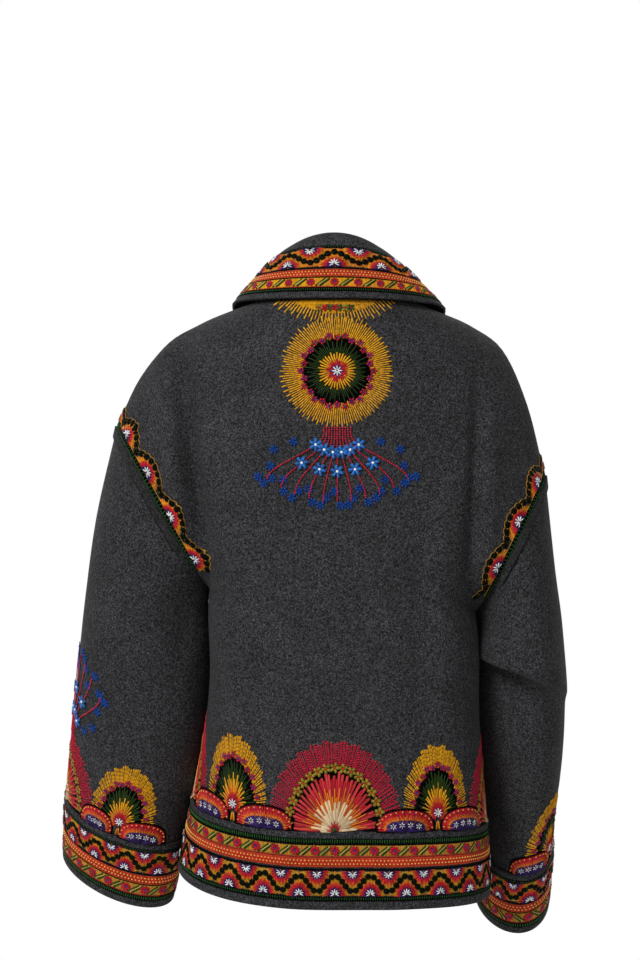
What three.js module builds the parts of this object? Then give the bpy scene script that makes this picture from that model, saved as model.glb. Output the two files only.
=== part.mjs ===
// An embroidered wool jacket, as worn: a boxy body of one back and two fronts, dropped
// shoulders, wide sleeves with applied cuff bands, and a broad turned-down collar.
// Every piece is a wall of felted cloth. Millimetres, +Z up, the wearer faces -Y and the
// wearer's left is +X. The origin is the middle of the neck opening, level with the two
// points where the shoulder seams meet the collar, which is where the wearer carries it.
import * as THREE from "three";

// ---- driving sizes -------------------------------------------------------------------
const CLOTH = 3; // felted wool
const BAND = 2; // embroidered strip laid on the cloth
const SEAM = 0.3; // space between two pieces at a seam
const HEM_BAND_HEIGHT = 90;
const CUFF_BAND_HEIGHT = 86;
const ARMHOLE_STRIP_WIDTH = 14;
const EDGE_BEAD = 1.2; // how far a band's thick top edge stands above its face
const EDGE_BEAD_WIDTH = 11;
const COLLAR_CLEARANCE = 6; // from the shoulder to the collar's outer edge
const STRETCHES = 3; // rows 0-1 are the yoke, 1-2 the armhole, 2-3 the body below it

const BACK = 1; // the sign of y on each face
const FRONT = -1;
const LEFT = 1; // the sign of x on each side
const RIGHT = -1;
const ARMHOLE_DEPTH = { [BACK]: 86, [FRONT]: 78 }; // from the shoulder seam's plane

// ---- tables --------------------------------------------------------------------------
// The middle of the back, and the front edge, at each row.
const BACK_MIDDLE = [
  { row: 0.0, x: 0, y: 66, z: 24 },
  { row: 0.25, x: 0, y: 95, z: -8 },
  { row: 0.5, x: 0, y: 111, z: -56 },
  { row: 0.75, x: 0, y: 121, z: -116 },
  { row: 1.0, x: 0, y: 127, z: -180 },
  { row: 1.5, x: 0, y: 132, z: -272 },
  { row: 2.0, x: 0, y: 134, z: -366 },
  { row: 2.35, x: 0, y: 133, z: -489 },
  { row: 2.7, x: 0, y: 135, z: -612 },
  { row: 3.0, x: 0, y: 140, z: -717 },
];
const FRONT_EDGE = [
  { row: 0.0, x: 10, y: -88, z: -84 },
  { row: 0.25, x: 10, y: -98, z: -100 },
  { row: 0.5, x: 10, y: -108, z: -126 },
  { row: 0.75, x: 10, y: -117, z: -158 },
  { row: 1.0, x: 11, y: -124, z: -198 },
  { row: 1.5, x: 12, y: -131, z: -282 },
  { row: 2.0, x: 14, y: -132, z: -368 },
  { row: 2.35, x: 16, y: -130, z: -486 },
  { row: 2.7, x: 19, y: -128, z: -604 },
  { row: 3.0, x: 22, y: -129, z: -705 },
];
// The shoulder seam from the neck to the top of the armhole.
const SHOULDER = {
  [LEFT]: [
    { row: 0.0, x: 75, z: 0 },
    { row: 0.25, x: 119, z: -12 },
    { row: 0.5, x: 165, z: -31 },
    { row: 0.7, x: 205, z: -56 },
    { row: 0.85, x: 238, z: -98 },
    { row: 1.0, x: 264, z: -153 },
  ],
  [RIGHT]: [
    { row: 0.0, x: 75, z: 0 },
    { row: 0.25, x: 131, z: -17 },
    { row: 0.45, x: 170, z: -34 },
    { row: 0.6, x: 203, z: -58 },
    { row: 0.8, x: 235, z: -126 },
    { row: 1.0, x: 257, z: -213 },
  ],
};
// The top and the underarm point of each armhole.
const ARMHOLE = {
  [LEFT]: { top: { x: 264, z: -153 }, under: { x: 152, z: -352 } },
  [RIGHT]: { top: { x: 257, z: -213 }, under: { x: 172, z: -380 } },
};
// The side seam from the underarm point to the hem.
const SIDE_SEAM = {
  [LEFT]: [
    { row: 2.0, x: 152, z: -352 },
    { row: 2.2, x: 149, z: -419 },
    { row: 2.5, x: 157, z: -520 },
    { row: 2.75, x: 171, z: -606 },
    { row: 3.0, x: 187, z: -690 },
  ],
  [RIGHT]: [
    { row: 2.0, x: 172, z: -380 },
    { row: 2.2, x: 174, z: -446 },
    { row: 2.5, x: 179, z: -548 },
    { row: 2.75, x: 184, z: -634 },
    { row: 3.0, x: 188, z: -719 },
  ],
};
// How a row runs from the middle to its seam: lead is how far it runs flat, as a share of
// the width, turn is its direction at the seam (90 is straight forwards), and tail how
// long it keeps that direction.
const ROW_SHAPE = [
  { row: 0.0, lead: 0.55, turn: 90, tail: 38 },
  { row: 0.3, lead: 0.6, turn: 90, tail: 42 },
  { row: 0.6, lead: 0.68, turn: 90, tail: 46 },
  { row: 0.9, lead: 0.74, turn: 90, tail: 49 },
  { row: 1.0, lead: 0.75, turn: 88, tail: 48 },
  { row: 1.14, lead: 0.72, turn: 68, tail: 38 },
  { row: 1.25, lead: 0.68, turn: 48, tail: 36 },
  { row: 1.5, lead: 0.6, turn: 15, tail: 40 },
  { row: 1.75, lead: 0.68, turn: 55, tail: 46 },
  { row: 1.88, lead: 0.76, turn: 76, tail: 72 },
  { row: 2.0, lead: 0.8, turn: 90, tail: 100 },
  { row: 2.4, lead: 0.8, turn: 90, tail: 102 },
  { row: 3.0, lead: 0.78, turn: 90, tail: 102 },
];
// Soft upright folds of the body: where each one runs, how wide it is, how far it stands
// out (or sinks, if negative), and between which rows it fades in and out.
const BODY_FOLDS = [
  { face: BACK, side: LEFT, x: 146, lean: -0.11, width: 20, rise: -6, from: 0.7, to: 2.3 },
  { face: BACK, side: LEFT, x: 112, lean: -0.04, width: 22, rise: 3.5, from: 1.1, to: 2.7 },
  { face: BACK, side: LEFT, x: 80, lean: 0.05, width: 24, rise: -4, from: 1.9, to: 2.9 },
  { face: BACK, side: LEFT, x: 40, lean: 0.02, width: 26, rise: 2.5, from: 1.9, to: 3.3 },
  { face: BACK, side: RIGHT, x: 160, lean: -0.02, width: 20, rise: -6, from: 0.9, to: 2.3 },
  { face: BACK, side: RIGHT, x: 132, lean: 0.0, width: 20, rise: 3.5, from: 1.1, to: 2.7 },
  { face: BACK, side: RIGHT, x: 100, lean: 0.02, width: 20, rise: -4.5, from: 1.2, to: 2.6 },
  { face: BACK, side: RIGHT, x: 62, lean: 0.02, width: 24, rise: 3, from: 1.8, to: 3.3 },
  { face: FRONT, side: LEFT, x: 138, lean: -0.06, width: 20, rise: -5, from: 0.9, to: 2.3 },
  { face: FRONT, side: LEFT, x: 108, lean: 0.02, width: 22, rise: 3.5, from: 1.2, to: 2.7 },
  { face: FRONT, side: LEFT, x: 76, lean: 0.03, width: 22, rise: -4, from: 1.5, to: 3.2 },
  { face: FRONT, side: RIGHT, x: 148, lean: -0.03, width: 20, rise: -5, from: 0.9, to: 2.3 },
  { face: FRONT, side: RIGHT, x: 116, lean: 0.02, width: 22, rise: 3.5, from: 1.2, to: 2.7 },
  { face: FRONT, side: RIGHT, x: 82, lean: 0.02, width: 22, rise: -4, from: 1.4, to: 3.2 },
];
// The sleeve's rings below the armhole: middle, half widths across and from front to
// back, how far the ring is turned in plan, how far its outer end is lifted (roll) and
// its back end is dropped (pitch), in degrees.
const SLEEVE = {
  [LEFT]: [
    { x: 223, y: 1, z: -317, across: 66, deep: 82, turn: 0, roll: 40, pitch: 0 },
    { x: 229, y: -3, z: -379, across: 74, deep: 80, turn: 0, roll: 16, pitch: 2 },
    { x: 235, y: -8, z: -438, across: 76, deep: 77, turn: 5, roll: 8, pitch: 5 },
    { x: 242, y: -15, z: -499, across: 76, deep: 73, turn: 11, roll: 6, pitch: 9 },
    { x: 249, y: -27, z: -563, across: 77, deep: 68, turn: 18, roll: 8, pitch: 13 },
    { x: 258, y: -43, z: -628, across: 76, deep: 61, turn: 25, roll: 12, pitch: 17 },
    { x: 270, y: -66, z: -712, across: 73, deep: 54, turn: 31, roll: 15, pitch: 20 },
  ],
  [RIGHT]: [
    { x: 224, y: 0, z: -362, across: 45, deep: 87, turn: 0, roll: 40, pitch: 0 },
    { x: 231, y: -3, z: -410, across: 47, deep: 91, turn: 0, roll: 20, pitch: 0 },
    { x: 235, y: -11, z: -462, across: 47, deep: 90, turn: 2, roll: 8, pitch: 7 },
    { x: 237, y: -29, z: -516, across: 46, deep: 87, turn: 4, roll: 3, pitch: 16 },
    { x: 236, y: -54, z: -572, across: 44, deep: 84, turn: 6, roll: 2, pitch: 21 },
    { x: 232, y: -86, z: -645, across: 41, deep: 82, turn: 7, roll: 6, pitch: 24 },
    { x: 230, y: -130, z: -746, across: 42, deep: 81, turn: 7, roll: 12, pitch: 25 },
  ],
};
// Sleeve folds: round the sleeve (0 outer, 90 back, 180 inner) and along it (in rings
// from the armhole), with the width each way and the height. `slant` is how much lower a
// fold lies a quarter turn on. Below `along` a fold with a small `under` falls away at
// once, as cloth that hangs over an elbow does.
const SLEEVE_FOLDS = {
  [LEFT]: [
    { round: 132, along: 1.9, wide: 22, above: 0.9, under: 1.1, slant: 0, rise: -6 },
    { round: 60, along: 2.4, wide: 26, above: 1.2, under: 1.5, slant: 0, rise: 3 },
    { round: 285, along: 3.6, wide: 40, above: 0.35, under: 0.35, slant: 0.1, rise: -6 },
    { round: 280, along: 3.0, wide: 42, above: 0.3, under: 0.3, slant: 0.1, rise: 4 },
    { round: 275, along: 4.3, wide: 38, above: 0.4, under: 0.4, slant: 0.1, rise: 3 },
  ],
  [RIGHT]: [
    { round: 92, along: 2.62, wide: 76, above: 0.75, under: 0.17, slant: -0.34, rise: 14 },
    { round: 100, along: 3.1, wide: 60, above: 0.28, under: 0.8, slant: -0.3, rise: -5 },
    { round: 275, along: 3.2, wide: 44, above: 0.35, under: 0.35, slant: 0.1, rise: -7 },
    { round: 285, along: 2.6, wide: 46, above: 0.35, under: 0.35, slant: 0.1, rise: 4 },
    { round: 270, along: 3.9, wide: 40, above: 0.4, under: 0.4, slant: 0.1, rise: 3 },
  ],
};
// The collar from the middle back (0) past the shoulder seam (1) to the front end (2):
// how high its stand is, how far the stand leans in, and the body row at which its outer
// edge lies.
const COLLAR = [
  { station: 0.0, stand: 51, lean: 3, row: 0.26 },
  { station: 0.5, stand: 52, lean: 7, row: 0.26 },
  { station: 1.0, stand: 54, lean: 12, row: 0.26 },
  { station: 1.35, stand: 38, lean: 8, row: 0.33 },
  { station: 1.7, stand: 22, lean: 2, row: 0.46 },
  { station: 2.0, stand: 13, lean: -2, row: 0.62 },
];
const COLLAR_POINT_SPREAD = 0.3; // how far the collar's points lie from the front edge

// Grid steps of each piece.
const STEPS = {
  yokeRows: 8,
  armholeRows: 14, // half of a sleeve's columns, so that the seam's edges match
  lowerRows: 7,
  backHalfColumns: 12,
  frontColumns: 11,
  sleeveRows: 21,
  collarStations: 30,
  collarProfile: 9,
};

// ---- curves --------------------------------------------------------------------------
const radians = THREE.MathUtils.degToRad;
const { lerp, clamp, smoothstep } = THREE.MathUtils;

/** Smooth values through a table's column, with the row of each entry under `key`. */
function through(table, key, column) {
  const at = table.map((entry) => entry[key]);
  const value = table.map((entry) => entry[column]);
  const last = table.length - 1;
  const chord = (i) => (value[i + 1] - value[i]) / (at[i + 1] - at[i]);
  const slope = (i) => {
    if (i === 0) return chord(0);
    if (i === last) return chord(last - 1);
    const before = at[i] - at[i - 1];
    const after = at[i + 1] - at[i];
    return (chord(i - 1) * after + chord(i) * before) / (before + after);
  };
  return (where) => {
    let i = 0;
    while (i < last - 1 && where > at[i + 1]) i += 1;
    const span = at[i + 1] - at[i];
    const s = (where - at[i]) / span;
    const s2 = s * s;
    const s3 = s2 * s;
    return (
      (2 * s3 - 3 * s2 + 1) * value[i] +
      (s3 - 2 * s2 + s) * span * slope(i) +
      (3 * s2 - 2 * s3) * value[i + 1] +
      (s3 - s2) * span * slope(i + 1)
    );
  };
}

/** One function for each named column of a table. */
function columns(table, key, names) {
  return Object.fromEntries(names.map((name) => [name, through(table, key, name)]));
}

const backMiddle = columns(BACK_MIDDLE, "row", ["x", "y", "z"]);
const frontEdge = columns(FRONT_EDGE, "row", ["x", "y", "z"]);
const rowShape = columns(ROW_SHAPE, "row", ["lead", "turn", "tail"]);
const collarShape = columns(COLLAR, "station", ["stand", "lean", "row"]);
const shoulder = {
  [LEFT]: columns(SHOULDER[LEFT], "row", ["x", "z"]),
  [RIGHT]: columns(SHOULDER[RIGHT], "row", ["x", "z"]),
};
const sideSeam = {
  [LEFT]: columns(SIDE_SEAM[LEFT], "row", ["x", "z"]),
  [RIGHT]: columns(SIDE_SEAM[RIGHT], "row", ["x", "z"]),
};

/** The armhole's seam line: angle 0 is its top, 90 its back and 180 the underarm. */
function armholePoint(side, angle) {
  const { top, under } = ARMHOLE[side];
  const swing = (1 - Math.cos(radians(angle))) / 2;
  return new THREE.Vector3(
    side * lerp(top.x, under.x, swing),
    ARMHOLE_DEPTH[Math.sin(radians(angle)) < 0 ? FRONT : BACK] * Math.sin(radians(angle)),
    lerp(top.z, under.z, swing),
  );
}

/** Where a row ends: on the shoulder seam, the armhole or the side seam. */
function rowEnd(side, face, row) {
  if (row > 1 && row < 2) return armholePoint(side, face * 180 * (row - 1));
  const seam = row <= 1 ? shoulder[side] : sideSeam[side];
  return new THREE.Vector3(side * seam.x(row), 0, seam.z(row));
}

/** How far the body's folds move the cloth out at a point; its seams stay where they are. */
function bodyFold(side, face, row, along, point) {
  const seamFade = 1 - smoothstep(along, 0.84, 1);
  let out = 0;
  for (const fold of BODY_FOLDS) {
    if (fold.face !== face || fold.side !== side) continue;
    const centre = fold.x + fold.lean * (-point.z - 300);
    const across = (Math.abs(point.x) - centre) / fold.width;
    const fadeIn = smoothstep(row, fold.from, fold.from + 0.5);
    const fadeOut = 1 - smoothstep(row, fold.to - 0.5, fold.to);
    out += fold.rise * Math.exp(-across * across) * fadeIn * fadeOut;
  }
  return out * seamFade;
}

/** A point of the body's outer surface: `along` is 0 at the middle, 1 at the seam. */
function bodyPoint(side, face, row, along) {
  const middle = face === BACK ? backMiddle : frontEdge;
  const start = new THREE.Vector3(side * middle.x(row), middle.y(row), middle.z(row));
  const end = rowEnd(side, face, row);
  const turn = radians(rowShape.turn(row));
  const tail = rowShape.tail(row);
  const reach = Math.abs(end.x - start.x);
  const flat = new THREE.Vector2(start.x + side * rowShape.lead(row) * reach, start.y);
  const last = new THREE.Vector2(
    end.x - side * tail * Math.cos(turn),
    end.y + face * tail * Math.sin(turn),
  );
  const plan = new THREE.CubicBezierCurve(
    new THREE.Vector2(start.x, start.y),
    flat,
    last,
    new THREE.Vector2(end.x, end.y),
  ).getPoint(along);
  const level = lerp(start.z, end.z, smoothstep(along, 0, 1));
  const point = new THREE.Vector3(plan.x, plan.y, level);
  point.y += face * bodyFold(side, face, row, along, point);
  return point;
}

/** The outward normal of a surface, worked out from four points round it. */
function normalOf(surface, u, v, uRange, vRange) {
  const step = 0.002;
  const u0 = clamp(u - step, ...uRange);
  const u1 = clamp(u + step, ...uRange);
  const v0 = clamp(v - step, ...vRange);
  const v1 = clamp(v + step, ...vRange);
  const along = surface(u1, v).sub(surface(u0, v));
  const across = surface(u, v1).sub(surface(u, v0));
  return along.cross(across).normalize();
}

function bodyNormal(side, face, row, along) {
  // Rows end on a vertical tangent, so the normal is read just inside both ends.
  const inside = clamp(along, 0.004, 0.996);
  const surface = (r, a) => bodyPoint(side, face, r, a);
  const normal = normalOf(surface, row, inside, [0, STRETCHES], [0.002, 0.998]);
  return normal.multiplyScalar(side * face * -1);
}

// ---- sleeves -------------------------------------------------------------------------
/** A ring of the sleeve; ring 0 is the armhole, moved off the body by the seam. */
function ringPoint(side, ring, angle) {
  if (ring === 0) {
    const { top, under } = ARMHOLE[side];
    const off = new THREE.Vector3(side * (under.z - top.z), 0, top.x - under.x);
    return armholePoint(side, angle).addScaledVector(off.normalize(), -SEAM);
  }
  const { x, y, z, across, deep, turn, roll, pitch } = SLEEVE[side][ring - 1];
  const p = new THREE.Vector3(
    across * Math.cos(radians(angle)),
    deep * Math.sin(radians(angle)),
    0,
  );
  p.applyAxisAngle(new THREE.Vector3(0, 0, 1), radians(-turn));
  p.z = p.x * Math.tan(radians(roll)) - p.y * Math.tan(radians(pitch));
  return new THREE.Vector3(side * (x + p.x), y + p.y, z + p.z);
}

const RINGS = SLEEVE[LEFT].length;

function sleeveFold(side, angle, along) {
  let out = 0;
  for (const fold of SLEEVE_FOLDS[side]) {
    const apart = ((angle - fold.round + 540) % 360) - 180;
    const round = apart / fold.wide;
    const from = fold.along + (fold.slant * apart) / 90;
    const down = (along - from) / (along < from ? fold.above : fold.under);
    out += fold.rise * Math.exp(-round * round - down * down);
  }
  return out;
}

/** A point of the sleeve before its folds: `along` counts rings from the armhole. */
function plainSleevePoint(side, angle, along) {
  const i = clamp(Math.floor(along), 0, RINGS - 1);
  const rings = [i - 1, i, i + 1, i + 2].map((n) => clamp(n, 0, RINGS));
  const [a, b, c, d] = rings.map((n) => ringPoint(side, n, angle));
  const s = along - i;
  const mix = (p0, p1, p2, p3, room) => {
    const m1 = room[0] ? ((p2 - p0) / 2) : p2 - p1;
    const m2 = room[1] ? ((p3 - p1) / 2) : p2 - p1;
    const s2 = s * s;
    const s3 = s2 * s;
    return (
      (2 * s3 - 3 * s2 + 1) * p1 + (s3 - 2 * s2 + s) * m1 + (3 * s2 - 2 * s3) * p2 + (s3 - s2) * m2
    );
  };
  const room = [i > 0, i < RINGS - 1];
  return new THREE.Vector3(
    mix(a.x, b.x, c.x, d.x, room),
    mix(a.y, b.y, c.y, d.y, room),
    mix(a.z, b.z, c.z, d.z, room),
  );
}

function plainSleeveNormal(side, angle, along) {
  const surface = (a, l) => plainSleevePoint(side, a * 360, l);
  const normal = normalOf(surface, angle / 360, along, [-2, 2], [0, RINGS]);
  return normal.multiplyScalar(-side);
}

function sleevePoint(side, angle, along) {
  const fold = sleeveFold(side, angle, along) * smoothstep(along, 0, 0.5);
  const normal = plainSleeveNormal(side, angle, along);
  return plainSleevePoint(side, angle, along).addScaledVector(normal, fold);
}

function sleeveNormal(side, angle, along) {
  const surface = (a, l) => sleevePoint(side, a * 360, l);
  const normal = normalOf(surface, angle / 360, along, [-2, 2], [0, RINGS]);
  return normal.multiplyScalar(-side);
}

// ---- shared edges --------------------------------------------------------------------
/** Two pieces that meet nearly flat share one edge direction, so their edges stay apart. */
function sharedNormal(own, other) {
  const flatness = smoothstep(own.dot(other), 0.3, 0.75);
  const shared = own.clone().add(other).normalize();
  return own.clone().lerp(shared, flatness).normalize();
}

/** The one direction in which back, front and sleeve are cut where all three meet. */
function shoulderPointNormal(side) {
  return new THREE.Vector3()
    .add(bodyNormal(side, BACK, 1, 1))
    .add(bodyNormal(side, FRONT, 1, 1))
    .add(sleeveNormal(side, 0, 0))
    .normalize();
}

function bodyEdgeNormal(side, face, row) {
  if (Math.abs(row - 1) < 1e-6) return shoulderPointNormal(side);
  const own = bodyNormal(side, face, row, 1);
  const onArmhole = row > 1 && row < 2 - 1e-6;
  const other = onArmhole
    ? sleeveNormal(side, face * 180 * (row - 1), 0)
    : bodyNormal(side, -face, row, 1);
  return sharedNormal(own, other);
}

function sleeveEdgeNormal(side, angle) {
  const turned = ((angle + 540) % 360) - 180;
  if (Math.abs(turned) < 1e-6) return shoulderPointNormal(side);
  const face = turned >= 0 ? BACK : FRONT;
  const row = 1 + Math.abs(turned) / 180;
  return sharedNormal(sleeveNormal(side, angle, 0), bodyNormal(side, face, row, 1));
}

// ---- walls ---------------------------------------------------------------------------
/**
 * A closed wall from a grid of outer points and the directions in which they are moved to
 * give its inner points. `round` joins the last column to the first.
 */
function wall({ outer, inner, round }) {
  const rows = outer.length;
  const cols = outer[0].length;
  const positions = [...outer.flat(), ...inner.flat()].flatMap((p) => p.toArray());
  const outside = (r, c) => r * cols + (c % cols);
  const inside = (r, c) => rows * cols + outside(r, c);
  const index = [];
  const quad = (a, b, c, d) => index.push(a, b, c, a, c, d);
  const lastCol = round ? cols : cols - 1;
  for (let r = 0; r < rows - 1; r += 1) {
    for (let c = 0; c < lastCol; c += 1) {
      quad(outside(r, c), outside(r, c + 1), outside(r + 1, c + 1), outside(r + 1, c));
      quad(inside(r, c), inside(r + 1, c), inside(r + 1, c + 1), inside(r, c + 1));
    }
  }
  for (let c = 0; c < lastCol; c += 1) {
    quad(outside(0, c), inside(0, c), inside(0, c + 1), outside(0, c + 1));
    const r = rows - 1;
    quad(outside(r, c), outside(r, c + 1), inside(r, c + 1), inside(r, c));
  }
  if (!round) {
    for (let r = 0; r < rows - 1; r += 1) {
      quad(outside(r, 0), outside(r + 1, 0), inside(r + 1, 0), inside(r, 0));
      const c = cols - 1;
      quad(outside(r, c), inside(r, c), inside(r + 1, c), outside(r + 1, c));
    }
  }
  const geometry = new THREE.BufferGeometry();
  geometry.setAttribute("position", new THREE.Float32BufferAttribute(positions, 3));
  geometry.setIndex(index);
  if (signedVolume(positions, index) < 0) {
    for (let i = 0; i < index.length; i += 3) {
      [index[i + 1], index[i + 2]] = [index[i + 2], index[i + 1]];
    }
    geometry.setIndex(index);
  }
  geometry.computeVertexNormals();
  return geometry;
}

function signedVolume(positions, index) {
  const corner = (i) => new THREE.Vector3().fromArray(positions, 3 * index[i]);
  let volume = 0;
  for (let i = 0; i < index.length; i += 3) {
    volume += corner(i).dot(corner(i + 1).cross(corner(i + 2)));
  }
  return volume;
}

/** Evenly spaced numbers, both ends included. */
function spaced(from, to, steps) {
  return Array.from({ length: steps + 1 }, (_, i) => lerp(from, to, i / steps));
}

/** A wall laid on a surface: `lift` is its inner face's height over it. */
function sheet({ us, vs, point, normal, lift = 0, thick, bead = () => 0, round = false }) {
  const grid = (height) =>
    us.map((u) =>
      vs.map((v) => point(u, v).addScaledVector(normal(u, v), height(u, v))),
    );
  return wall({
    outer: grid((u, v) => lift + thick + bead(u, v)),
    inner: grid(() => lift),
    round,
  });
}

// ---- pieces --------------------------------------------------------------------------
/** How far along a row its end is trimmed, so that the seam stays open. */
function trim(side, face, row) {
  const end = bodyPoint(side, face, row, 1);
  const before = bodyPoint(side, face, row, 0.98);
  return (0.02 * SEAM) / 2 / before.distanceTo(end);
}

/** The rows of a back or front; both have the same, so that their seams' edges match. */
function bodyRows() {
  return [
    ...spaced(0, 1, STEPS.yokeRows).slice(0, -1),
    ...spaced(1, 2, STEPS.armholeRows).slice(0, -1),
    ...spaced(2, rowAbove(HEM_BAND_HEIGHT), STEPS.lowerRows).slice(0, -1),
    ...spaced(rowAbove(HEM_BAND_HEIGHT), 3, 2),
  ];
}

/** Grid columns of a front, or of half of the back: 0 is the middle and 1 the seam. */
function bodyColumns(count) {
  return spaced(0, 1, count).map((c) => c * (1.18 - 0.18 * c));
}

function bodyAt(side, face) {
  const reach = (row, along) => Math.min(along, 1 - trim(side, face, row));
  return {
    point: (row, along) => bodyPoint(side, face, row, reach(row, along)),
    normal: (row, along) =>
      along > 0.999 ? bodyEdgeNormal(side, face, row) : bodyNormal(side, face, row, along),
  };
}

const leftBack = bodyAt(LEFT, BACK);
const rightBack = bodyAt(RIGHT, BACK);
/** The whole back as one surface: `across` runs from -1, the right seam, to 1, the left. */
const wholeBack = {
  point: (row, across) => (across < 0 ? rightBack : leftBack).point(row, Math.abs(across)),
  normal: (row, across) => {
    const own = (across < 0 ? rightBack : leftBack).normal(row, Math.abs(across));
    return across === 0 ? own.setX(0).normalize() : own;
  },
};

function backColumns() {
  const half = bodyColumns(STEPS.backHalfColumns);
  return [...half.slice(1).map((c) => -c).reverse(), ...half];
}

function bodyPiece(surface, rows, cols) {
  return sheet({ us: rows, vs: cols, ...surface, lift: -CLOTH, thick: CLOTH });
}

/** The row at a height above the hem, near enough for a band's straight top edge. */
function rowAbove(height) {
  const rise = backMiddle.z(STRETCHES) - backMiddle.z(STRETCHES - 0.5);
  return STRETCHES + (0.5 * height) / rise;
}

/** The thick rolled edge at a band's top: 0 away from it, EDGE_BEAD at its crest. */
function beadAt(fromTop) {
  const s = clamp(fromTop / EDGE_BEAD_WIDTH, 0, 1);
  return EDGE_BEAD * Math.sin(Math.PI * s);
}

/** Distances from a band's top edge at which its points lie. */
function bandLevels(height) {
  return [0, EDGE_BEAD_WIDTH / 2, EDGE_BEAD_WIDTH, height / 2, height];
}

function hemBand(surface, cols) {
  const topRow = rowAbove(HEM_BAND_HEIGHT);
  const perRow = HEM_BAND_HEIGHT / (STRETCHES - topRow);
  return sheet({
    us: bandLevels(HEM_BAND_HEIGHT).map((fromTop) => rowAbove(HEM_BAND_HEIGHT - fromTop)),
    vs: cols,
    ...surface,
    lift: SEAM,
    thick: BAND,
    bead: (row) => beadAt((row - topRow) * perRow),
  });
}

function sleeveAt(side) {
  return {
    point: (along, angle) => sleevePoint(side, angle, along),
    normal: (along, angle) =>
      along === 0 ? sleeveEdgeNormal(side, angle) : sleeveNormal(side, angle, along),
  };
}

function sleeveAngles() {
  return spaced(0, 360, 2 * STEPS.armholeRows).slice(0, -1);
}

function sleeveRows(side) {
  // Rows lie closer where the elbow's fold turns under.
  const even = spaced(0, RINGS, STEPS.sleeveRows);
  if (side === LEFT) return even;
  const overhang = SLEEVE_FOLDS[RIGHT][0];
  const extra = [0.04, 0.12, 0.2].map((s) => overhang.along + s);
  return [...even.filter((r) => extra.every((e) => Math.abs(r - e) > 0.06)), ...extra].sort(
    (a, b) => a - b,
  );
}

function sleeve(side) {
  return sheet({
    us: sleeveRows(side),
    vs: sleeveAngles(),
    ...sleeveAt(side),
    lift: -CLOTH,
    thick: CLOTH,
    round: true,
  });
}

/** The sleeve's own measure at an angle: how many rings a length along it is, near a ring. */
function ringsFor(side, angle, along, length) {
  const step = along > RINGS / 2 ? -0.2 : 0.1;
  const here = sleevePoint(side, angle, along);
  const there = sleevePoint(side, angle, along + step);
  return (Math.abs(step) * length) / here.distanceTo(there);
}

/** A band round the cuff, its height measured along the sleeve at each angle. */
function cuffBand(side) {
  const { point, normal } = sleeveAt(side);
  const along = (fromTop, angle) =>
    RINGS - ringsFor(side, angle, RINGS, CUFF_BAND_HEIGHT - fromTop);
  return sheet({
    us: bandLevels(CUFF_BAND_HEIGHT),
    vs: sleeveAngles(),
    point: (fromTop, angle) => point(along(fromTop, angle), angle),
    normal: (fromTop, angle) => normal(along(fromTop, angle), angle),
    lift: SEAM,
    thick: BAND,
    bead: (fromTop) => beadAt(fromTop),
    round: true,
  });
}

const STRIP_START = 1; // mm below the armhole seam
const STRIP_COLUMNS = 9; // of the sleeve's, each way from the top: the underarm is free

function stripAngles() {
  const step = 180 / STEPS.armholeRows;
  return spaced(-STRIP_COLUMNS * step, STRIP_COLUMNS * step, 2 * STRIP_COLUMNS);
}

/** The plain strip sewn along the sleeve's head, open at the underarm. */
function armholeStrip(side) {
  const { point, normal } = sleeveAt(side);
  const along = (length, angle) => ringsFor(side, angle, 0, length);
  return sheet({
    us: [STRIP_START, ARMHOLE_STRIP_WIDTH / 2, ARMHOLE_STRIP_WIDTH],
    vs: stripAngles(),
    point: (length, angle) => point(along(length, angle), angle),
    normal: (length, angle) => normal(along(length, angle), angle),
    lift: SEAM,
    thick: BAND,
  });
}

// ---- collar --------------------------------------------------------------------------
/** The neckline and the collar's outer edge at a station, -2 and 2 being its front ends. */
function collarLines(station) {
  const side = station < 0 ? RIGHT : LEFT;
  const s = Math.abs(station);
  const face = s <= 1 ? BACK : FRONT;
  const along = s <= 1 ? s : 2 - s;
  const seam = bodyPoint(side, face, 0, along);
  const ahead = bodyPoint(side, face, 0, clamp(along + 0.01, 0, 1));
  const behind = bodyPoint(side, face, 0, clamp(along - 0.01, 0, 1));
  const run = ahead.sub(behind).setZ(0).normalize();
  const out = new THREE.Vector3(run.y, -run.x, 0).multiplyScalar(-face * side);
  const row = collarShape.row(s);
  const spread = lerp(along, 1, s > 1 ? COLLAR_POINT_SPREAD * (s - 1) : 0);
  const clear = COLLAR_CLEARANCE + CLOTH;
  const edge = bodyPoint(side, face, row, spread).addScaledVector(
    bodyNormal(side, face, row, spread),
    clear,
  );
  seam.addScaledVector(out, -CLOTH - SEAM).setZ(seam.z + 2 * SEAM);
  const fold = seam
    .clone()
    .addScaledVector(out, -collarShape.lean(s))
    .setZ(seam.z + collarShape.stand(s));
  return { seam, fold, edge, out };
}

/** A point of the collar's visible face: `turn` 0 is the neck seam, 1 the fold, 2 the edge. */
function collarPoint(station, turn) {
  const { seam, fold, edge, out } = collarLines(station);
  if (turn <= 1) {
    return new THREE.CubicBezierCurve3(
      seam,
      seam.clone().lerp(fold, 0.7),
      fold.clone().addScaledVector(out, -5),
      fold,
    ).getPoint(turn);
  }
  const sag = edge.clone().lerp(fold, 0.45).addScaledVector(out, 6);
  return new THREE.CubicBezierCurve3(
    fold,
    fold.clone().addScaledVector(out, 11),
    sag,
    edge,
  ).getPoint(turn - 1);
}

function collarNormal(station, turn) {
  return normalOf(collarPoint, station, turn, [-2, 2], [0, 2]);
}

function collar() {
  return sheet({
    us: spaced(-2, 2, STEPS.collarStations),
    vs: spaced(0, 2, STEPS.collarProfile),
    point: collarPoint,
    normal: collarNormal,
    lift: -CLOTH,
    thick: CLOTH,
  });
}

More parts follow.
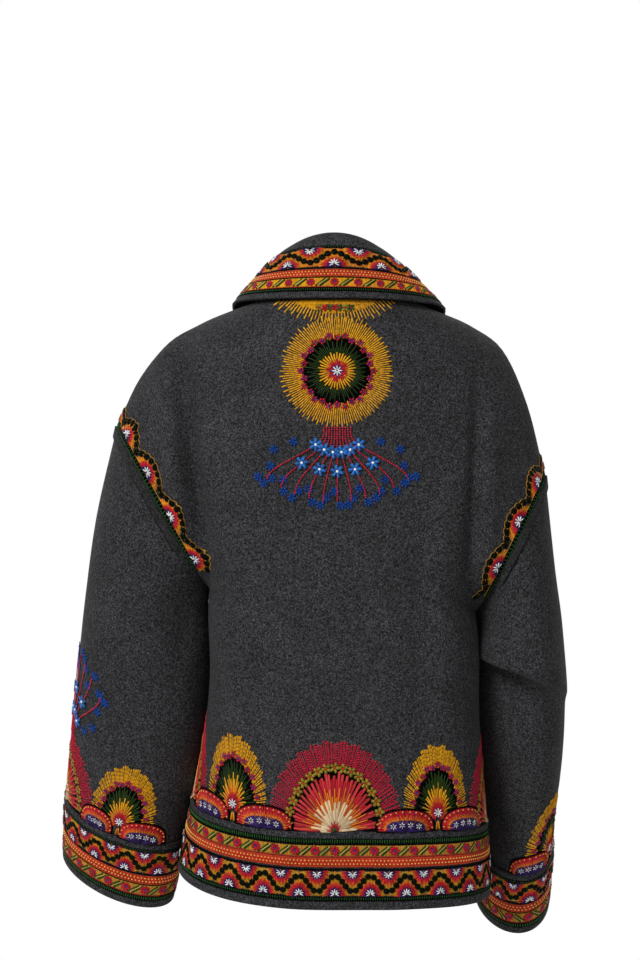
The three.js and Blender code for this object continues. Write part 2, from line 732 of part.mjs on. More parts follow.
// ---- assembly ------------------------------------------------------------------------
const loden = new THREE.MeshStandardMaterial({ color: 0x3b3c3e, roughness: 0.95 });
const embroidery = new THREE.MeshStandardMaterial({ color: 0xb5432c, roughness: 0.7 });
const binding = new THREE.MeshStandardMaterial({ color: 0x333437, roughness: 0.95 });

const jacket = new THREE.Group();

function add(name, geometry, material) {
  const mesh = new THREE.Mesh(geometry, material);
  mesh.name = name;
  jacket.add(mesh);
}

const SIDES = { left: LEFT, right: RIGHT };

add("back", bodyPiece(wholeBack, bodyRows(), backColumns()), loden);
add("hem_band_back", hemBand(wholeBack, backColumns()), embroidery);
add("collar", collar(), loden);
for (const [name, side] of Object.entries(SIDES)) {
  const surface = bodyAt(side, FRONT);
  const cols = bodyColumns(STEPS.frontColumns);
  add(`front_${name}`, bodyPiece(surface, bodyRows(), cols), loden);
  add(`hem_band_front_${name}`, hemBand(surface, cols), embroidery);
  add(`sleeve_${name}`, sleeve(side), loden);
  add(`cuff_band_${name}`, cuffBand(side), embroidery);
  add(`armhole_strip_${name}`, armholeStrip(side), binding);
}

export default jacket;
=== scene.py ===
"""An embroidered wool jacket, as worn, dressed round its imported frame.

The cloth pieces are thin shells on the jacket's own surfaces, and the embroidery is laid on
them stitch by stitch. A chart is a flat map of a surface in millimetres: s runs along a band
or seam and t runs down across it, so that each motif is drawn flat and worked on the form.
"""

import logging
import math
import random
from collections.abc import Callable, Sequence
from dataclasses import dataclass, field
from enum import Enum, IntEnum

import bmesh
import bpy
import numpy as np
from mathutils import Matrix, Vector
from mathutils.bvhtree import BVHTree


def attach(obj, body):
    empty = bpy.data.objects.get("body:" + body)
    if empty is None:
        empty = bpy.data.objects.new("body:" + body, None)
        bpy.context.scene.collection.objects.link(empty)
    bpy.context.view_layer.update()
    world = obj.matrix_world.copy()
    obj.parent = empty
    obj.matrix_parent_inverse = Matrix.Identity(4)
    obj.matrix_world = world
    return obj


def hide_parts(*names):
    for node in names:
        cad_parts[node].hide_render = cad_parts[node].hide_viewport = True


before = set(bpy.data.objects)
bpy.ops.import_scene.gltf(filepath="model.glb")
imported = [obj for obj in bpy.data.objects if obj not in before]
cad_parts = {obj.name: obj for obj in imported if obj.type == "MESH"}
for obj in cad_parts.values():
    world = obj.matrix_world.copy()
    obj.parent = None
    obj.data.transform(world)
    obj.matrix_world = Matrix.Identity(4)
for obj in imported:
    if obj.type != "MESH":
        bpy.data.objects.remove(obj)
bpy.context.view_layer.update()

logging.basicConfig(level=logging.INFO, format="%(message)s")
log = logging.getLogger("jacket")

Array = np.ndarray
Pair = tuple[float, float]
Shape = Callable[[float], Pair]

MM = 0.001
CLOTH = 3.0  # felted wool, mm
BAND = 2.0  # embroidered strip laid on the cloth
SEAM = 0.3
HEM_BAND_HEIGHT = 90.0
CUFF_BAND_HEIGHT = 86.0
ARMHOLE_STRIP_WIDTH = 14.0
STRIP_REACH = 9 * 180 / 14  # degrees each way from the armhole's top
EDGE_BEAD = 1.2
EDGE_BEAD_WIDTH = 11.0
COLLAR_CLEARANCE = 6.0
COLLAR_POINT_SPREAD = 0.3
BODY_ROWS = 3.0
COLLAR_FALL = 94.0  # from the fold to the outer edge at the middle back, mm
RIM = 0.7  # the rounding of a cut edge
CUT_ALLOWANCE = 1.004  # a piece is cut a little larger than it measures when formed
STEP = 2.0  # between the places of a chart, mm
SHORT_STITCH = 4.5  # mm; a longer stitch has more rings, so that it follows the form
LONG_STITCH = 16.0
SUNK = 0.15  # how far a stitch goes into what lies under it
DEEP_SHARE = 0.35  # how many stitches are of the darker dye lot
DEEP_SHADE = 0.74
WHOLE_TURN = (0.0, 360.0)


class Face(IntEnum):
    """The sign of y on each face of the body."""

    BACK = 1
    FRONT = -1


class Side(IntEnum):
    """The sign of x on each side."""

    LEFT = 1
    RIGHT = -1

    @property
    def word(self) -> str:
        """The side's name as the pieces use it."""
        return self.name.lower()


# ---- curves ----------------------------------------------------------------------------


def smoothstep(x: Array, low: float | Array = 0.0, high: float | Array = 1.0) -> Array:
    """A soft step from 0 at low to 1 at high."""
    t = np.clip((x - low) / (high - low), 0.0, 1.0)
    return t * t * (3 - 2 * t)


def unit(vectors: Array) -> Array:
    """The vectors at length 1."""
    return vectors / np.maximum(np.linalg.norm(vectors, axis=-1, keepdims=True), 1e-9)


def hermite(s: Array, p1: Array, m1: Array, p2: Array, m2: Array) -> Array:
    """A cubic between two points with two slopes."""
    s2, s3 = s * s, s * s * s
    return (
        (2 * s3 - 3 * s2 + 1) * p1
        + (s3 - 2 * s2 + s) * m1
        + (3 * s2 - 2 * s3) * p2
        + (s3 - s2) * m2
    )


class Curve:
    """A smooth line through a table's values."""

    def __init__(self, at: Sequence[float], values: Sequence[float]) -> None:
        """Works out the line's slopes.

        Args:
            at: the rising places that it has values for.
            values: its value at each.
        """
        self.at = np.asarray(at, float)
        self.values = np.asarray(values, float)
        gap = np.diff(self.at)
        chord = np.diff(self.values) / gap
        inner = (chord[:-1] * gap[1:] + chord[1:] * gap[:-1]) / (gap[:-1] + gap[1:])
        self.slope = np.concatenate([chord[:1], inner, chord[-1:]])

    def __call__(self, where: Array | float) -> Array:
        """The line's values at these places."""
        where = np.asarray(where, float)
        i = np.searchsorted(self.at[1:-1], where, side="left")
        span = self.at[i + 1] - self.at[i]
        s = (where - self.at[i]) / span
        first, last = span * self.slope[i], span * self.slope[i + 1]
        return hermite(s, self.values[i], first, self.values[i + 1], last)


def columns(names: str, *rows: Sequence[float]) -> dict[str, Curve]:
    """One curve for each named column of a table, over its first column.

    Args:
        names: the columns' names, parted by spaces, without the first.
        rows: the table's rows.

    Returns:
        The curves by name.
    """
    at, *values = zip(*rows)
    return {name: Curve(at, column) for name, column in zip(names.split(), values)}


# ---- the jacket's form -----------------------------------------------------------------

MIDDLE = {
    Face.BACK: columns(
        "x y z",
        (0.0, 0, 66, 24),
        (0.25, 0, 95, -8),
        (0.5, 0, 111, -56),
        (0.75, 0, 121, -116),
        (1.0, 0, 127, -180),
        (1.5, 0, 132, -272),
        (2.0, 0, 134, -366),
        (2.35, 0, 133, -489),
        (2.7, 0, 135, -612),
        (3.0, 0, 140, -717),
    ),
    Face.FRONT: columns(
        "x y z",
        (0.0, 10, -88, -84),
        (0.25, 10, -98, -100),
        (0.5, 10, -108, -126),
        (0.75, 10, -117, -158),
        (1.0, 11, -124, -198),
        (1.5, 12, -131, -282),
        (2.0, 14, -132, -368),
        (2.35, 16, -130, -486),
        (2.7, 19, -128, -604),
        (3.0, 22, -129, -705),
    ),
}
SHOULDER = {
    Side.LEFT: columns(
        "x z",
        (0.0, 75, 0),
        (0.25, 119, -12),
        (0.5, 165, -31),
        (0.7, 205, -56),
        (0.85, 238, -98),
        (1.0, 264, -153),
    ),
    Side.RIGHT: columns(
        "x z",
        (0.0, 75, 0),
        (0.25, 131, -17),
        (0.45, 170, -34),
        (0.6, 203, -58),
        (0.8, 235, -126),
        (1.0, 257, -213),
    ),
}
SIDE_SEAM = {
    Side.LEFT: columns(
        "x z",
        (2.0, 152, -352),
        (2.2, 149, -419),
        (2.5, 157, -520),
        (2.75, 171, -606),
        (3.0, 187, -690),
    ),
    Side.RIGHT: columns(
        "x z",
        (2.0, 172, -380),
        (2.2, 174, -446),
        (2.5, 179, -548),
        (2.75, 184, -634),
        (3.0, 188, -719),
    ),
}
ROW_SHAPE = columns(
    "lead turn tail",
    (0.0, 0.55, 90, 38),
    (0.3, 0.6, 90, 42),
    (0.6, 0.68, 90, 46),
    (0.9, 0.74, 90, 49),
    (1.0, 0.75, 88, 48),
    (1.14, 0.72, 68, 38),
    (1.25, 0.68, 48, 36),
    (1.5, 0.6, 15, 40),
    (1.75, 0.68, 55, 46),
    (1.88, 0.76, 76, 72),
    (2.0, 0.8, 90, 100),
    (2.4, 0.8, 90, 102),
    (3.0, 0.78, 90, 102),
)
# x and z of each armhole's top and of its underarm point.
ARMHOLE = {
    Side.LEFT: ((264, -153), (152, -352)),
    Side.RIGHT: ((257, -213), (172, -380)),
}
ARMHOLE_DEPTH = {Face.BACK: 86.0, Face.FRONT: 78.0}


@dataclass(frozen=True)
class BodyFold:
    """A soft upright fold of the body, in mm and rows."""

    face: Face
    side: Side
    x: float
    lean: float
    width: float
    rise: float
    start: float
    stop: float
    inner: float = 1.0  # how wide the side towards the middle is, as a share of the other


def folds(face: Face, side: Side, *rows: Sequence[float]) -> list[BodyFold]:
    """The folds of one face and side from a table of x, lean, width, rise, start, stop."""
    return [BodyFold(face, side, *row) for row in rows]


BODY_FOLDS = [
    *folds(
        Face.BACK,
        Side.LEFT,
        (146, -0.11, 20, -6, 0.7, 2.3),
        (150, -0.12, 17, -17, 0.3, 1.95, 0.3),
        (178, -0.12, 13, 9, 0.4, 1.8),
        (112, -0.04, 22, 3.5, 1.1, 2.7),
        (80, 0.05, 24, -4, 1.9, 2.9),
        (40, 0.02, 26, 2.5, 1.9, 3.3),
    ),
    *folds(
        Face.BACK,
        Side.RIGHT,
        (160, -0.02, 20, -6, 0.9, 2.3),
        (158, -0.05, 15, -9, 0.5, 2.0, 0.35),
        (180, -0.05, 12, 6, 0.6, 1.9),
        (132, 0, 20, 3.5, 1.1, 2.7),
        (100, 0.02, 20, -4.5, 1.2, 2.6),
        (62, 0.02, 24, 3, 1.8, 3.3),
    ),
    *folds(
        Face.FRONT,
        Side.LEFT,
        (138, -0.06, 20, -5, 0.9, 2.3),
        (108, 0.02, 22, 3.5, 1.2, 2.7),
        (76, 0.03, 22, -4, 1.5, 3.2),
    ),
    *folds(
        Face.FRONT,
        Side.RIGHT,
        (148, -0.03, 20, -5, 0.9, 2.3),
        (116, 0.02, 22, 3.5, 1.2, 2.7),
        (82, 0.02, 22, -4, 1.4, 3.2),
    ),
]


def armhole_point(side: Side | Array, angle: Array) -> Array:
    """The armhole's seam line: angle 0 is its top, 90 its back and 180 the underarm."""
    left = np.asarray(side) > 0
    ends = [
        [np.where(left, ARMHOLE[Side.LEFT][i][j], ARMHOLE[Side.RIGHT][i][j]) for j in (0, 1)]
        for i in (0, 1)
    ]
    swing = (1 - np.cos(np.radians(angle))) / 2
    sine = np.sin(np.radians(angle))
    depth = np.where(sine < 0, ARMHOLE_DEPTH[Face.FRONT], ARMHOLE_DEPTH[Face.BACK])
    return np.stack(
        [
            side * (ends[0][0] + (ends[1][0] - ends[0][0]) * swing),
            depth * sine,
            ends[0][1] + (ends[1][1] - ends[0][1]) * swing,
        ],
        axis=-1,
    )


def off_the_body(side: Side) -> Array:
    """The direction square to an armhole's plane, from its seam to the body."""
    top, under = ARMHOLE[side]
    return unit(np.array([side * (under[1] - top[1]), 0.0, top[0] - under[0]]))


def surface_normal(
    surface: Callable[[Array, Array], Array],
    u: Array,
    v: Array,
    u_range: Pair,
    v_range: Pair,
) -> Array:
    """The normal of a surface, from four points round each place."""
    step = 0.002
    u0, u1 = np.clip(u - step, *u_range), np.clip(u + step, *u_range)
    v0, v1 = np.clip(v - step, *v_range), np.clip(v + step, *v_range)
    return unit(np.cross(surface(u1, v) - surface(u0, v), surface(u, v1) - surface(u, v0)))


class Body:
    """The body's outer surface: back and fronts, by side, face, row and share of a row."""

    def row_end(self, side: Array, face: Array, row: Array) -> Array:
        """Where a row ends: on the shoulder seam, the armhole or the side seam."""
        left = side > 0
        seam = [
            np.where(
                row <= 1,
                np.where(left, SHOULDER[Side.LEFT][k](row), SHOULDER[Side.RIGHT][k](row)),
                np.where(left, SIDE_SEAM[Side.LEFT][k](row), SIDE_SEAM[Side.RIGHT][k](row)),
            )
            for k in ("x", "z")
        ]
        straight = np.stack([side * seam[0], np.zeros_like(row), seam[1]], axis=-1)
        hole = armhole_point(side, face * 180 * (row - 1))
        return np.where(((row > 1) & (row < 2))[..., None], hole, straight)

    def fold(self, side: Array, face: Array, row: Array, along: Array, point: Array) -> Array:
        """How far the folds move the cloth out; its seams stay where they are."""
        out = np.zeros_like(row)
        for fold in BODY_FOLDS:
            centre = fold.x + fold.lean * (-point[..., 2] - 300)
            across = (np.abs(point[..., 0]) - centre) / fold.width
            across = np.where(across < 0, across / fold.inner, across)
            fade = smoothstep(row, fold.start, fold.start + 0.5)
            fade = fade * (1 - smoothstep(row, fold.stop - 0.5, fold.stop))
            here = (face == fold.face) & (side == fold.side)
            out += here * fold.rise * np.exp(-across * across) * fade
        return out * (1 - smoothstep(along, 0.84, 1))

    def point(self, side: Array, face: Array, row: Array, along: Array) -> Array:
        """Points of the outer surface: along is 0 at the middle and 1 at the seam."""
        side, face, row, along = np.broadcast_arrays(
            np.asarray(side), np.asarray(face), np.asarray(row, float), np.asarray(along, float)
        )
        back = face > 0
        start = [
            np.where(back, MIDDLE[Face.BACK][k](row), MIDDLE[Face.FRONT][k](row)) for k in "xyz"
        ]
        start[0] = side * start[0]
        end = self.row_end(side, face, row)
        turn = np.radians(ROW_SHAPE["turn"](row))
        tail = ROW_SHAPE["tail"](row)
        reach = np.abs(end[..., 0] - start[0])
        lead = start[0] + side * ROW_SHAPE["lead"](row) * reach
        last = (
            end[..., 0] - side * tail * np.cos(turn),
            end[..., 1] + face * tail * np.sin(turn),
        )
        rest = 1 - along
        weights = (rest**3, 3 * rest**2 * along, 3 * rest * along**2, along**3)
        x = weights[0] * start[0] + weights[1] * lead
        x = x + weights[2] * last[0] + weights[3] * end[..., 0]
        y = (weights[0] + weights[1]) * start[1] + weights[2] * last[1] + weights[3] * end[..., 1]
        z = start[2] + (end[..., 2] - start[2]) * smoothstep(along)
        point = np.stack([x, y, z], axis=-1)
        point[..., 1] += face * self.fold(side, face, row, along, point)
        return point

    def normal(self, side: Array, face: Array, row: Array, along: Array) -> Array:
        """Outward directions of the surface."""
        side, face, row, along = np.broadcast_arrays(
            np.asarray(side), np.asarray(face), np.asarray(row, float), np.asarray(along, float)
        )
        raw = surface_normal(
            lambda r, a: self.point(side, face, r, a),
            row,
            np.clip(along, 0.004, 0.996),
            (0, BODY_ROWS),
            (0.002, 0.998),
        )
        return raw * (-side * face)[..., None]

    @staticmethod
    def round(g: Array) -> tuple[Array, Array, Array]:
        """Side, face and share of the row at a place round the body.

        Args:
            g: 0 at the middle of the back, 1 and -1 at the left and right side seams, 2 and
                -2 at the front edges.

        Returns:
            The side, the face and how far along its row the place is.
        """
        far = np.abs(g)
        side = np.where(g < 0, Side.RIGHT, Side.LEFT)
        face = np.where(far <= 1, Face.BACK, Face.FRONT)
        return side, face, np.where(far <= 1, far, 2 - far)

    def trimmed(self, side: Array, face: Array, row: Array, along: Array) -> Array:
        """The share of a row, cut back at the seam by half of the seam's width."""
        end = self.point(side, face, row, np.ones_like(row))
        before = self.point(side, face, row, np.full_like(row, 0.98))
        trim = 0.02 * SEAM / 2 / np.linalg.norm(end - before, axis=-1)
        return np.minimum(along, 1 - trim)


BODY = Body()


def row_above(height: Array | float) -> Array:
    """The body's row at a height above the hem."""
    z = MIDDLE[Face.BACK]["z"]
    rise = float(z(BODY_ROWS) - z(BODY_ROWS - 0.5))
    return BODY_ROWS + 0.5 * np.asarray(height, float) / rise


def bead(from_top: Array) -> Array:
    """The thick rolled edge at a band's top."""
    s = np.clip(from_top / EDGE_BEAD_WIDTH, 0, 1)
    return EDGE_BEAD * np.sin(math.pi * s)


@dataclass(frozen=True)
class SleeveFold:
    """A fold of a sleeve: degrees round it, rings along it, and millimetres high."""

    round: float
    along: float
    wide: float
    above: float
    under: float
    slant: float
    rise: float


SLEEVE_RINGS = {
    # x, y, z, across, deep, turn, roll, pitch of each ring below the armhole
    Side.LEFT: np.array(
        [
            (223, 1, -317, 66, 82, 0, 40, 0),
            (229, -3, -379, 74, 80, 0, 16, 2),
            (235, -8, -438, 76, 77, 5, 8, 5),
            (242, -15, -499, 76, 73, 11, 6, 9),
            (249, -27, -563, 77, 68, 18, 8, 13),
            (258, -43, -628, 76, 61, 25, 12, 17),
            (270, -66, -712, 73, 54, 31, 15, 20),
        ],
        float,
    ),
    Side.RIGHT: np.array(
        [
            (224, 0, -362, 45, 87, 0, 40, 0),
            (231, -3, -410, 47, 91, 0, 20, 0),
            (235, -11, -462, 47, 90, 2, 8, 7),
            (237, -29, -516, 46, 87, 4, 3, 16),
            (236, -54, -572, 44, 84, 6, 2, 21),
            (232, -86, -645, 41, 82, 7, 6, 24),
            (230, -130, -746, 42, 81, 7, 12, 25),
        ],
        float,
    ),
}
SLEEVE_FOLDS = {
    Side.LEFT: [
        SleeveFold(132, 1.9, 22, 0.9, 1.1, 0, -6),
        SleeveFold(180, 3.7, 62, 2.5, 2.1, 0, 12.6),
        SleeveFold(180, 2.75, 60, 0.9, 0.9, 0, -2.5),
        SleeveFold(180, 5.95, 50, 0.45, 0.6, 0, -2.2),
        SleeveFold(60, 2.4, 26, 1.2, 1.5, 0, 3),
        SleeveFold(285, 3.6, 40, 0.35, 0.35, 0.1, -6),
        SleeveFold(280, 3.0, 42, 0.3, 0.3, 0.1, 4),
        SleeveFold(275, 4.3, 38, 0.4, 0.4, 0.1, 3),
    ],
    Side.RIGHT: [
        SleeveFold(114, 2.4, 62, 0.8, 0.11, -0.85, 23),
        SleeveFold(108, 2.78, 52, 0.2, 0.9, -0.85, -9),
        SleeveFold(180, 3.6, 54, 2.4, 3.0, 0, 15),
        SleeveFold(176, 1.82, 32, 0.75, 0.13, -0.85, -8),
        SleeveFold(275, 3.2, 44, 0.35, 0.35, 0.1, -7),
        SleeveFold(285, 2.6, 46, 0.35, 0.35, 0.1, 4),
        SleeveFold(270, 3.9, 40, 0.4, 0.4, 0.1, 3),
    ],
}
RINGS = 7


@dataclass(frozen=True)
class SleeveForm:
    """A sleeve's outer surface, by degrees round it and rings along it."""

    side: Side

    def ring(self, number: Array, angle: Array) -> Array:
        """A ring of the sleeve; ring 0 is the armhole, moved off the body by the seam."""
        rows = SLEEVE_RINGS[self.side][np.clip(number - 1, 0, RINGS - 1)]
        x0, y0, z0, across, deep, turn, roll, pitch = np.moveaxis(rows, -1, 0)
        px, py = across * np.cos(np.radians(angle)), deep * np.sin(np.radians(angle))
        c, s = np.cos(np.radians(turn)), np.sin(np.radians(turn))
        x, y = px * c + py * s, -px * s + py * c
        z = x * np.tan(np.radians(roll)) - y * np.tan(np.radians(pitch))
        ring = np.stack([self.side * (x0 + x), y0 + y, z0 + z], axis=-1)
        hole = armhole_point(self.side, angle) - SEAM * off_the_body(self.side)
        return np.where((number == 0)[..., None], hole, ring)

    def plain(self, angle: Array, along: Array) -> Array:
        """Points of the sleeve before its folds."""
        angle, along = np.broadcast_arrays(np.asarray(angle, float), np.asarray(along, float))
        i = np.clip(np.floor(along), 0, RINGS - 1).astype(int)
        p0, p1, p2, p3 = (self.ring(np.clip(i + n, 0, RINGS), angle) for n in (-1, 0, 1, 2))
        s = (along - i)[..., None]
        m1 = np.where((i > 0)[..., None], (p2 - p0) / 2, p2 - p1)
        m2 = np.where((i < RINGS - 1)[..., None], (p3 - p1) / 2, p2 - p1)
        return hermite(s, p1, m1, p2, m2)

    def fold(self, angle: Array, along: Array) -> Array:
        """How far the folds move the cloth out."""
        out = np.zeros(np.broadcast(angle, along).shape)
        for fold in SLEEVE_FOLDS[self.side]:
            apart = (angle - fold.round + 540) % 360 - 180
            start = fold.along + fold.slant * apart / 90
            down = (along - start) / np.where(along < start, fold.above, fold.under)
            out += fold.rise * np.exp(-((apart / fold.wide) ** 2) - down * down)
        return out * smoothstep(along, 0, 0.5)

    def _normal(
        self, surface: Callable[[Array, Array], Array], angle: Array, along: Array
    ) -> Array:
        """Outward directions of one of the sleeve's surfaces."""
        turn = np.asarray(angle) / 360
        raw = surface_normal(lambda a, r: surface(a * 360, r), turn, along, (-3, 3), (0, RINGS))
        return raw * -self.side

    def point(self, angle: Array, along: Array) -> Array:
        """Points of the sleeve with its folds."""
        normal = self._normal(self.plain, angle, along)
        return self.plain(angle, along) + normal * self.fold(angle, along)[..., None]

    def normal(self, angle: Array, along: Array) -> Array:
        """Outward directions of the sleeve."""
        return self._normal(self.point, angle, along)

    def rings_for(self, angle: Array, along: float, length: Array) -> Array:
        """How many rings a length along the sleeve is, near a ring."""
        step = -0.2 if along > RINGS / 2 else 0.1
        here = self.point(angle, np.full_like(angle, along))
        there = self.point(angle, np.full_like(angle, along + step))
        return abs(step) * length / np.linalg.norm(here - there, axis=-1)


COLLAR_SHAPE = columns(
    "stand lean row",
    (0.0, 51, 3, 0.26),
    (0.5, 52, 7, 0.26),
    (1.0, 54, 12, 0.26),
    (1.35, 38, 8, 0.33),
    (1.7, 22, 2, 0.46),
    (2.0, 13, -2, 0.62),
)


def bezier(points: Sequence[Array], t: Array) -> Array:
    """A cubic through four control points."""
    t = t[..., None]
    r = 1 - t
    near = r**3 * points[0] + 3 * r**2 * t * points[1]
    return near + 3 * r * t**2 * points[2] + t**3 * points[3]


class CollarForm:
    """The collar's visible face, by station round the neck and turn over the fold.

    Station 0 is the middle back, 1 and -1 the shoulder seams, 2 and -2 the front ends. Turn
    0 is the neck seam, 1 the fold and 2 the outer edge.
    """

    def point(self, station: Array, turn: Array) -> Array:
        """Points of the visible face."""
        station, turn = np.broadcast_arrays(np.asarray(station, float), np.asarray(turn, float))
        side, face, along = Body.round(station)
        s = np.abs(station)
        zero = np.zeros_like(s)
        seam = BODY.point(side, face, zero, along)
        run = BODY.point(side, face, zero, np.clip(along + 0.01, 0, 1))
        run = run - BODY.point(side, face, zero, np.clip(along - 0.01, 0, 1))
        run[..., 2] = 0
        run = unit(run)
        out = np.stack([run[..., 1], -run[..., 0], zero], axis=-1) * (-face * side)[..., None]
        row = COLLAR_SHAPE["row"](s)
        spread = along + (1 - along) * np.where(s > 1, COLLAR_POINT_SPREAD * (s - 1), 0)
        edge = BODY.point(side, face, row, spread)
        edge = edge + BODY.normal(side, face, row, spread) * (COLLAR_CLEARANCE + CLOTH)
        seam = seam - out * (CLOTH + SEAM)
        seam[..., 2] += 2 * SEAM
        fold = seam - out * COLLAR_SHAPE["lean"](s)[..., None]
        fold[..., 2] = seam[..., 2] + COLLAR_SHAPE["stand"](s)
        stand = bezier(
            (seam, seam + (fold - seam) * 0.7, fold - out * 5, fold), np.clip(turn, 0, 1)
        )
        sag = edge + (fold - edge) * 0.45 + out * 6
        fall = bezier((fold, fold + out * 11, sag, edge), np.clip(turn - 1, 0, 1))
        return np.where((turn <= 1)[..., None], stand, fall)

    def normal(self, station: Array, turn: Array) -> Array:
        """Directions out of the visible face."""
        return surface_normal(self.point, station, turn, (-2, 2), (0, 2))


COLLAR = CollarForm()


# ---- charts ----------------------------------------------------------------------------


def lengths(points: Array, axis: int = 0) -> Array:
    """The length run along an axis of points, from 0 at its start."""
    steps = np.linalg.norm(np.diff(points, axis=axis), axis=-1)
    return np.insert(np.cumsum(steps, axis=axis), 0, 0.0, axis=axis)


@dataclass
class Chart:
    """A flat map of a surface: points and normals over a regular grid of s and t, in mm."""

    s0: float
    t0: float
    point: Array
    normal: Array

    def at(self, s: Array, t: Array) -> tuple[Array, Array]:
        """Where places of the map lie.

        Args:
            s: lengths along.
            t: lengths down.

        Returns:
            The points and the outward directions; a place off the map is not a number.
        """
        i, j = (s - self.s0) / STEP, (t - self.t0) / STEP
        rows, cols = self.point.shape[:2]
        off = (i < 0) | (j < 0) | (i > rows - 1) | (j > cols - 1)
        i0 = np.clip(np.floor(i), 0, rows - 2).astype(int)
        j0 = np.clip(np.floor(j), 0, cols - 2).astype(int)
        a, b = (i - i0)[..., None], (j - j0)[..., None]

        def blend(grid: Array) -> Array:
            """The values between the four nearest places of a grid."""
            top = grid[i0, j0] * (1 - a) + grid[i0 + 1, j0] * a
            low = grid[i0, j0 + 1] * (1 - a) + grid[i0 + 1, j0 + 1] * a
            return top * (1 - b) + low * b

        point = blend(self.point)
        point[off] = np.nan
        return point, unit(blend(self.normal))


def spaced_along(line: Array, g: Array, s: Array, zero: int) -> Array:
    """The parameter of each length along a line of points, counted from one of them."""
    length = lengths(line)
    return np.interp(s, length - length[zero], g, left=np.nan, right=np.nan)


def numbered(lines: Array, s: Array, ease: Array | float = 1.0) -> Array:
    """The row number, as a fraction, of each length along every column of a grid of points.

    Args:
        lines: the grid; lengths count from its middle row.
        s: the lengths.
        ease: what the lengths are multiplied by in each column.

    Returns:
        The numbers, by length and column; one past the grid's end is not a number.
    """
    number = np.arange(len(lines), dtype=float)
    eased = enumerate(np.broadcast_to(ease, lines.shape[1]))
    return np.stack(
        [spaced_along(lines[:, j], number, s * e, len(lines) // 2) for j, e in eased], axis=1
    )


def looked_up(table: Array, number: Array) -> Array:
    """A table's values at row numbers between its rows, column by column."""
    low = np.clip(np.floor(number), 0, len(table) - 2).astype(int)
    share = number - low
    cols = np.arange(table.shape[1])[None, :]
    return table[low, cols] * (1 - share) + table[low + 1, cols] * share


def band_lift(t: Array) -> Array:
    """How far the embroidered face stands over the cloth: a band lies on it from t = 0."""
    return np.where(t >= 0, SEAM + BAND + bead(t), 0.0)


def hem_chart(reach: float = 524.0, up: float = -132.0) -> Chart:
    """The chart round the hem: s from the middle back towards the left, t from the band's top."""
    s = np.arange(-reach, reach + STEP, STEP)
    t = np.arange(up, HEM_BAND_HEIGHT + STEP, STEP)
    top = row_above(HEM_BAND_HEIGHT)
    rows = np.minimum(top + t / HEM_BAND_HEIGHT * (BODY_ROWS - top), BODY_ROWS)
    g = np.linspace(-2, 2, 801)
    lines = BODY.point(*Body.round(g)[:2], rows[:, None], Body.round(g)[2][None, :])
    where = np.stack([spaced_along(line, g, s, len(g) // 2) for line in lines], axis=1)
    side, face, along = Body.round(np.nan_to_num(where, nan=2.0))
    point = BODY.point(side, face, rows[None, :], along)
    normal = BODY.normal(side, face, rows[None, :], along)
    point = point + normal * band_lift(t)[None, :, None]
    point[np.isnan(where)] = np.nan
    return Chart(-reach, up, point, normal)


def cuff_girth(sleeve: SleeveForm) -> float:
    """The length round the middle of a cuff's band."""
    turn = np.linspace(0, 360, 721)
    return float(lengths(sleeve.point(turn, np.full_like(turn, RINGS - 0.5)))[-1])


def cuff_chart(sleeve: SleeveForm, up: float = -240.0, reach: float = 262.0) -> Chart:
    """The chart round a cuff: s from the back of the sleeve outwards, t from the band's top."""
    angles = 90 - np.linspace(-200, 200, 401)
    whole_turn = slice(20, 381)
    top = RINGS - sleeve.rings_for(angles, RINGS, np.full_like(angles, CUFF_BAND_HEIGHT))
    t = np.arange(up, CUFF_BAND_HEIGHT + STEP, STEP)
    fine = np.linspace(2.5, RINGS, 181)
    length = lengths(sleeve.point(angles[:, None], fine[None, :]), axis=1)
    along = np.empty((len(angles), len(t)))
    for i, ring in enumerate(top):
        at_top = np.interp(ring, fine, length[i])
        above = np.interp(at_top + np.minimum(t, 0), length[i], fine)
        inside = ring + (RINGS - ring) * t / CUFF_BAND_HEIGHT
        along[i] = np.minimum(np.where(t < 0, above, inside), RINGS)
    lines = sleeve.point(angles[:, None], along)
    s = np.arange(-reach, reach + STEP, STEP)
    # The work is eased round each level, so that its two ends meet all the way down.
    ease = lengths(lines[whole_turn])[-1] / cuff_girth(sleeve)
    where = numbered(lines, s, ease)
    filled = np.nan_to_num(where, nan=0.0)
    rows = looked_up(along, filled)
    angle = np.interp(filled, np.arange(len(angles)), angles)
    point, normal = sleeve.point(angle, rows), sleeve.normal(angle, rows)
    point = point + normal * band_lift(t)[None, :, None]
    point[np.isnan(where)] = np.nan
    return Chart(-reach, up, point, normal)


def head_chart(sleeve: SleeveForm) -> Chart:
    """The chart of a sleeve's head: s from its top backwards, t down from the seam."""
    angles = np.linspace(-STRIP_REACH, STRIP_REACH, 181)
    line = sleeve.point(angles, np.zeros_like(angles))
    half = lengths(line)[-1] / 2
    s = np.arange(-math.floor(half / STEP) * STEP, half, STEP)
    angle = np.nan_to_num(spaced_along(line, angles, s, len(angles) // 2), nan=STRIP_REACH)
    t = np.arange(0, ARMHOLE_STRIP_WIDTH + 4 * STEP, STEP)
    each = sleeve.rings_for(angle, 0, np.ones_like(angle))
    tt, aa = t[None, :] * each[:, None], np.broadcast_to(angle[:, None], (len(s), len(t)))
    return Chart(float(s[0]), 0.0, sleeve.point(aa, tt), sleeve.normal(aa, tt))


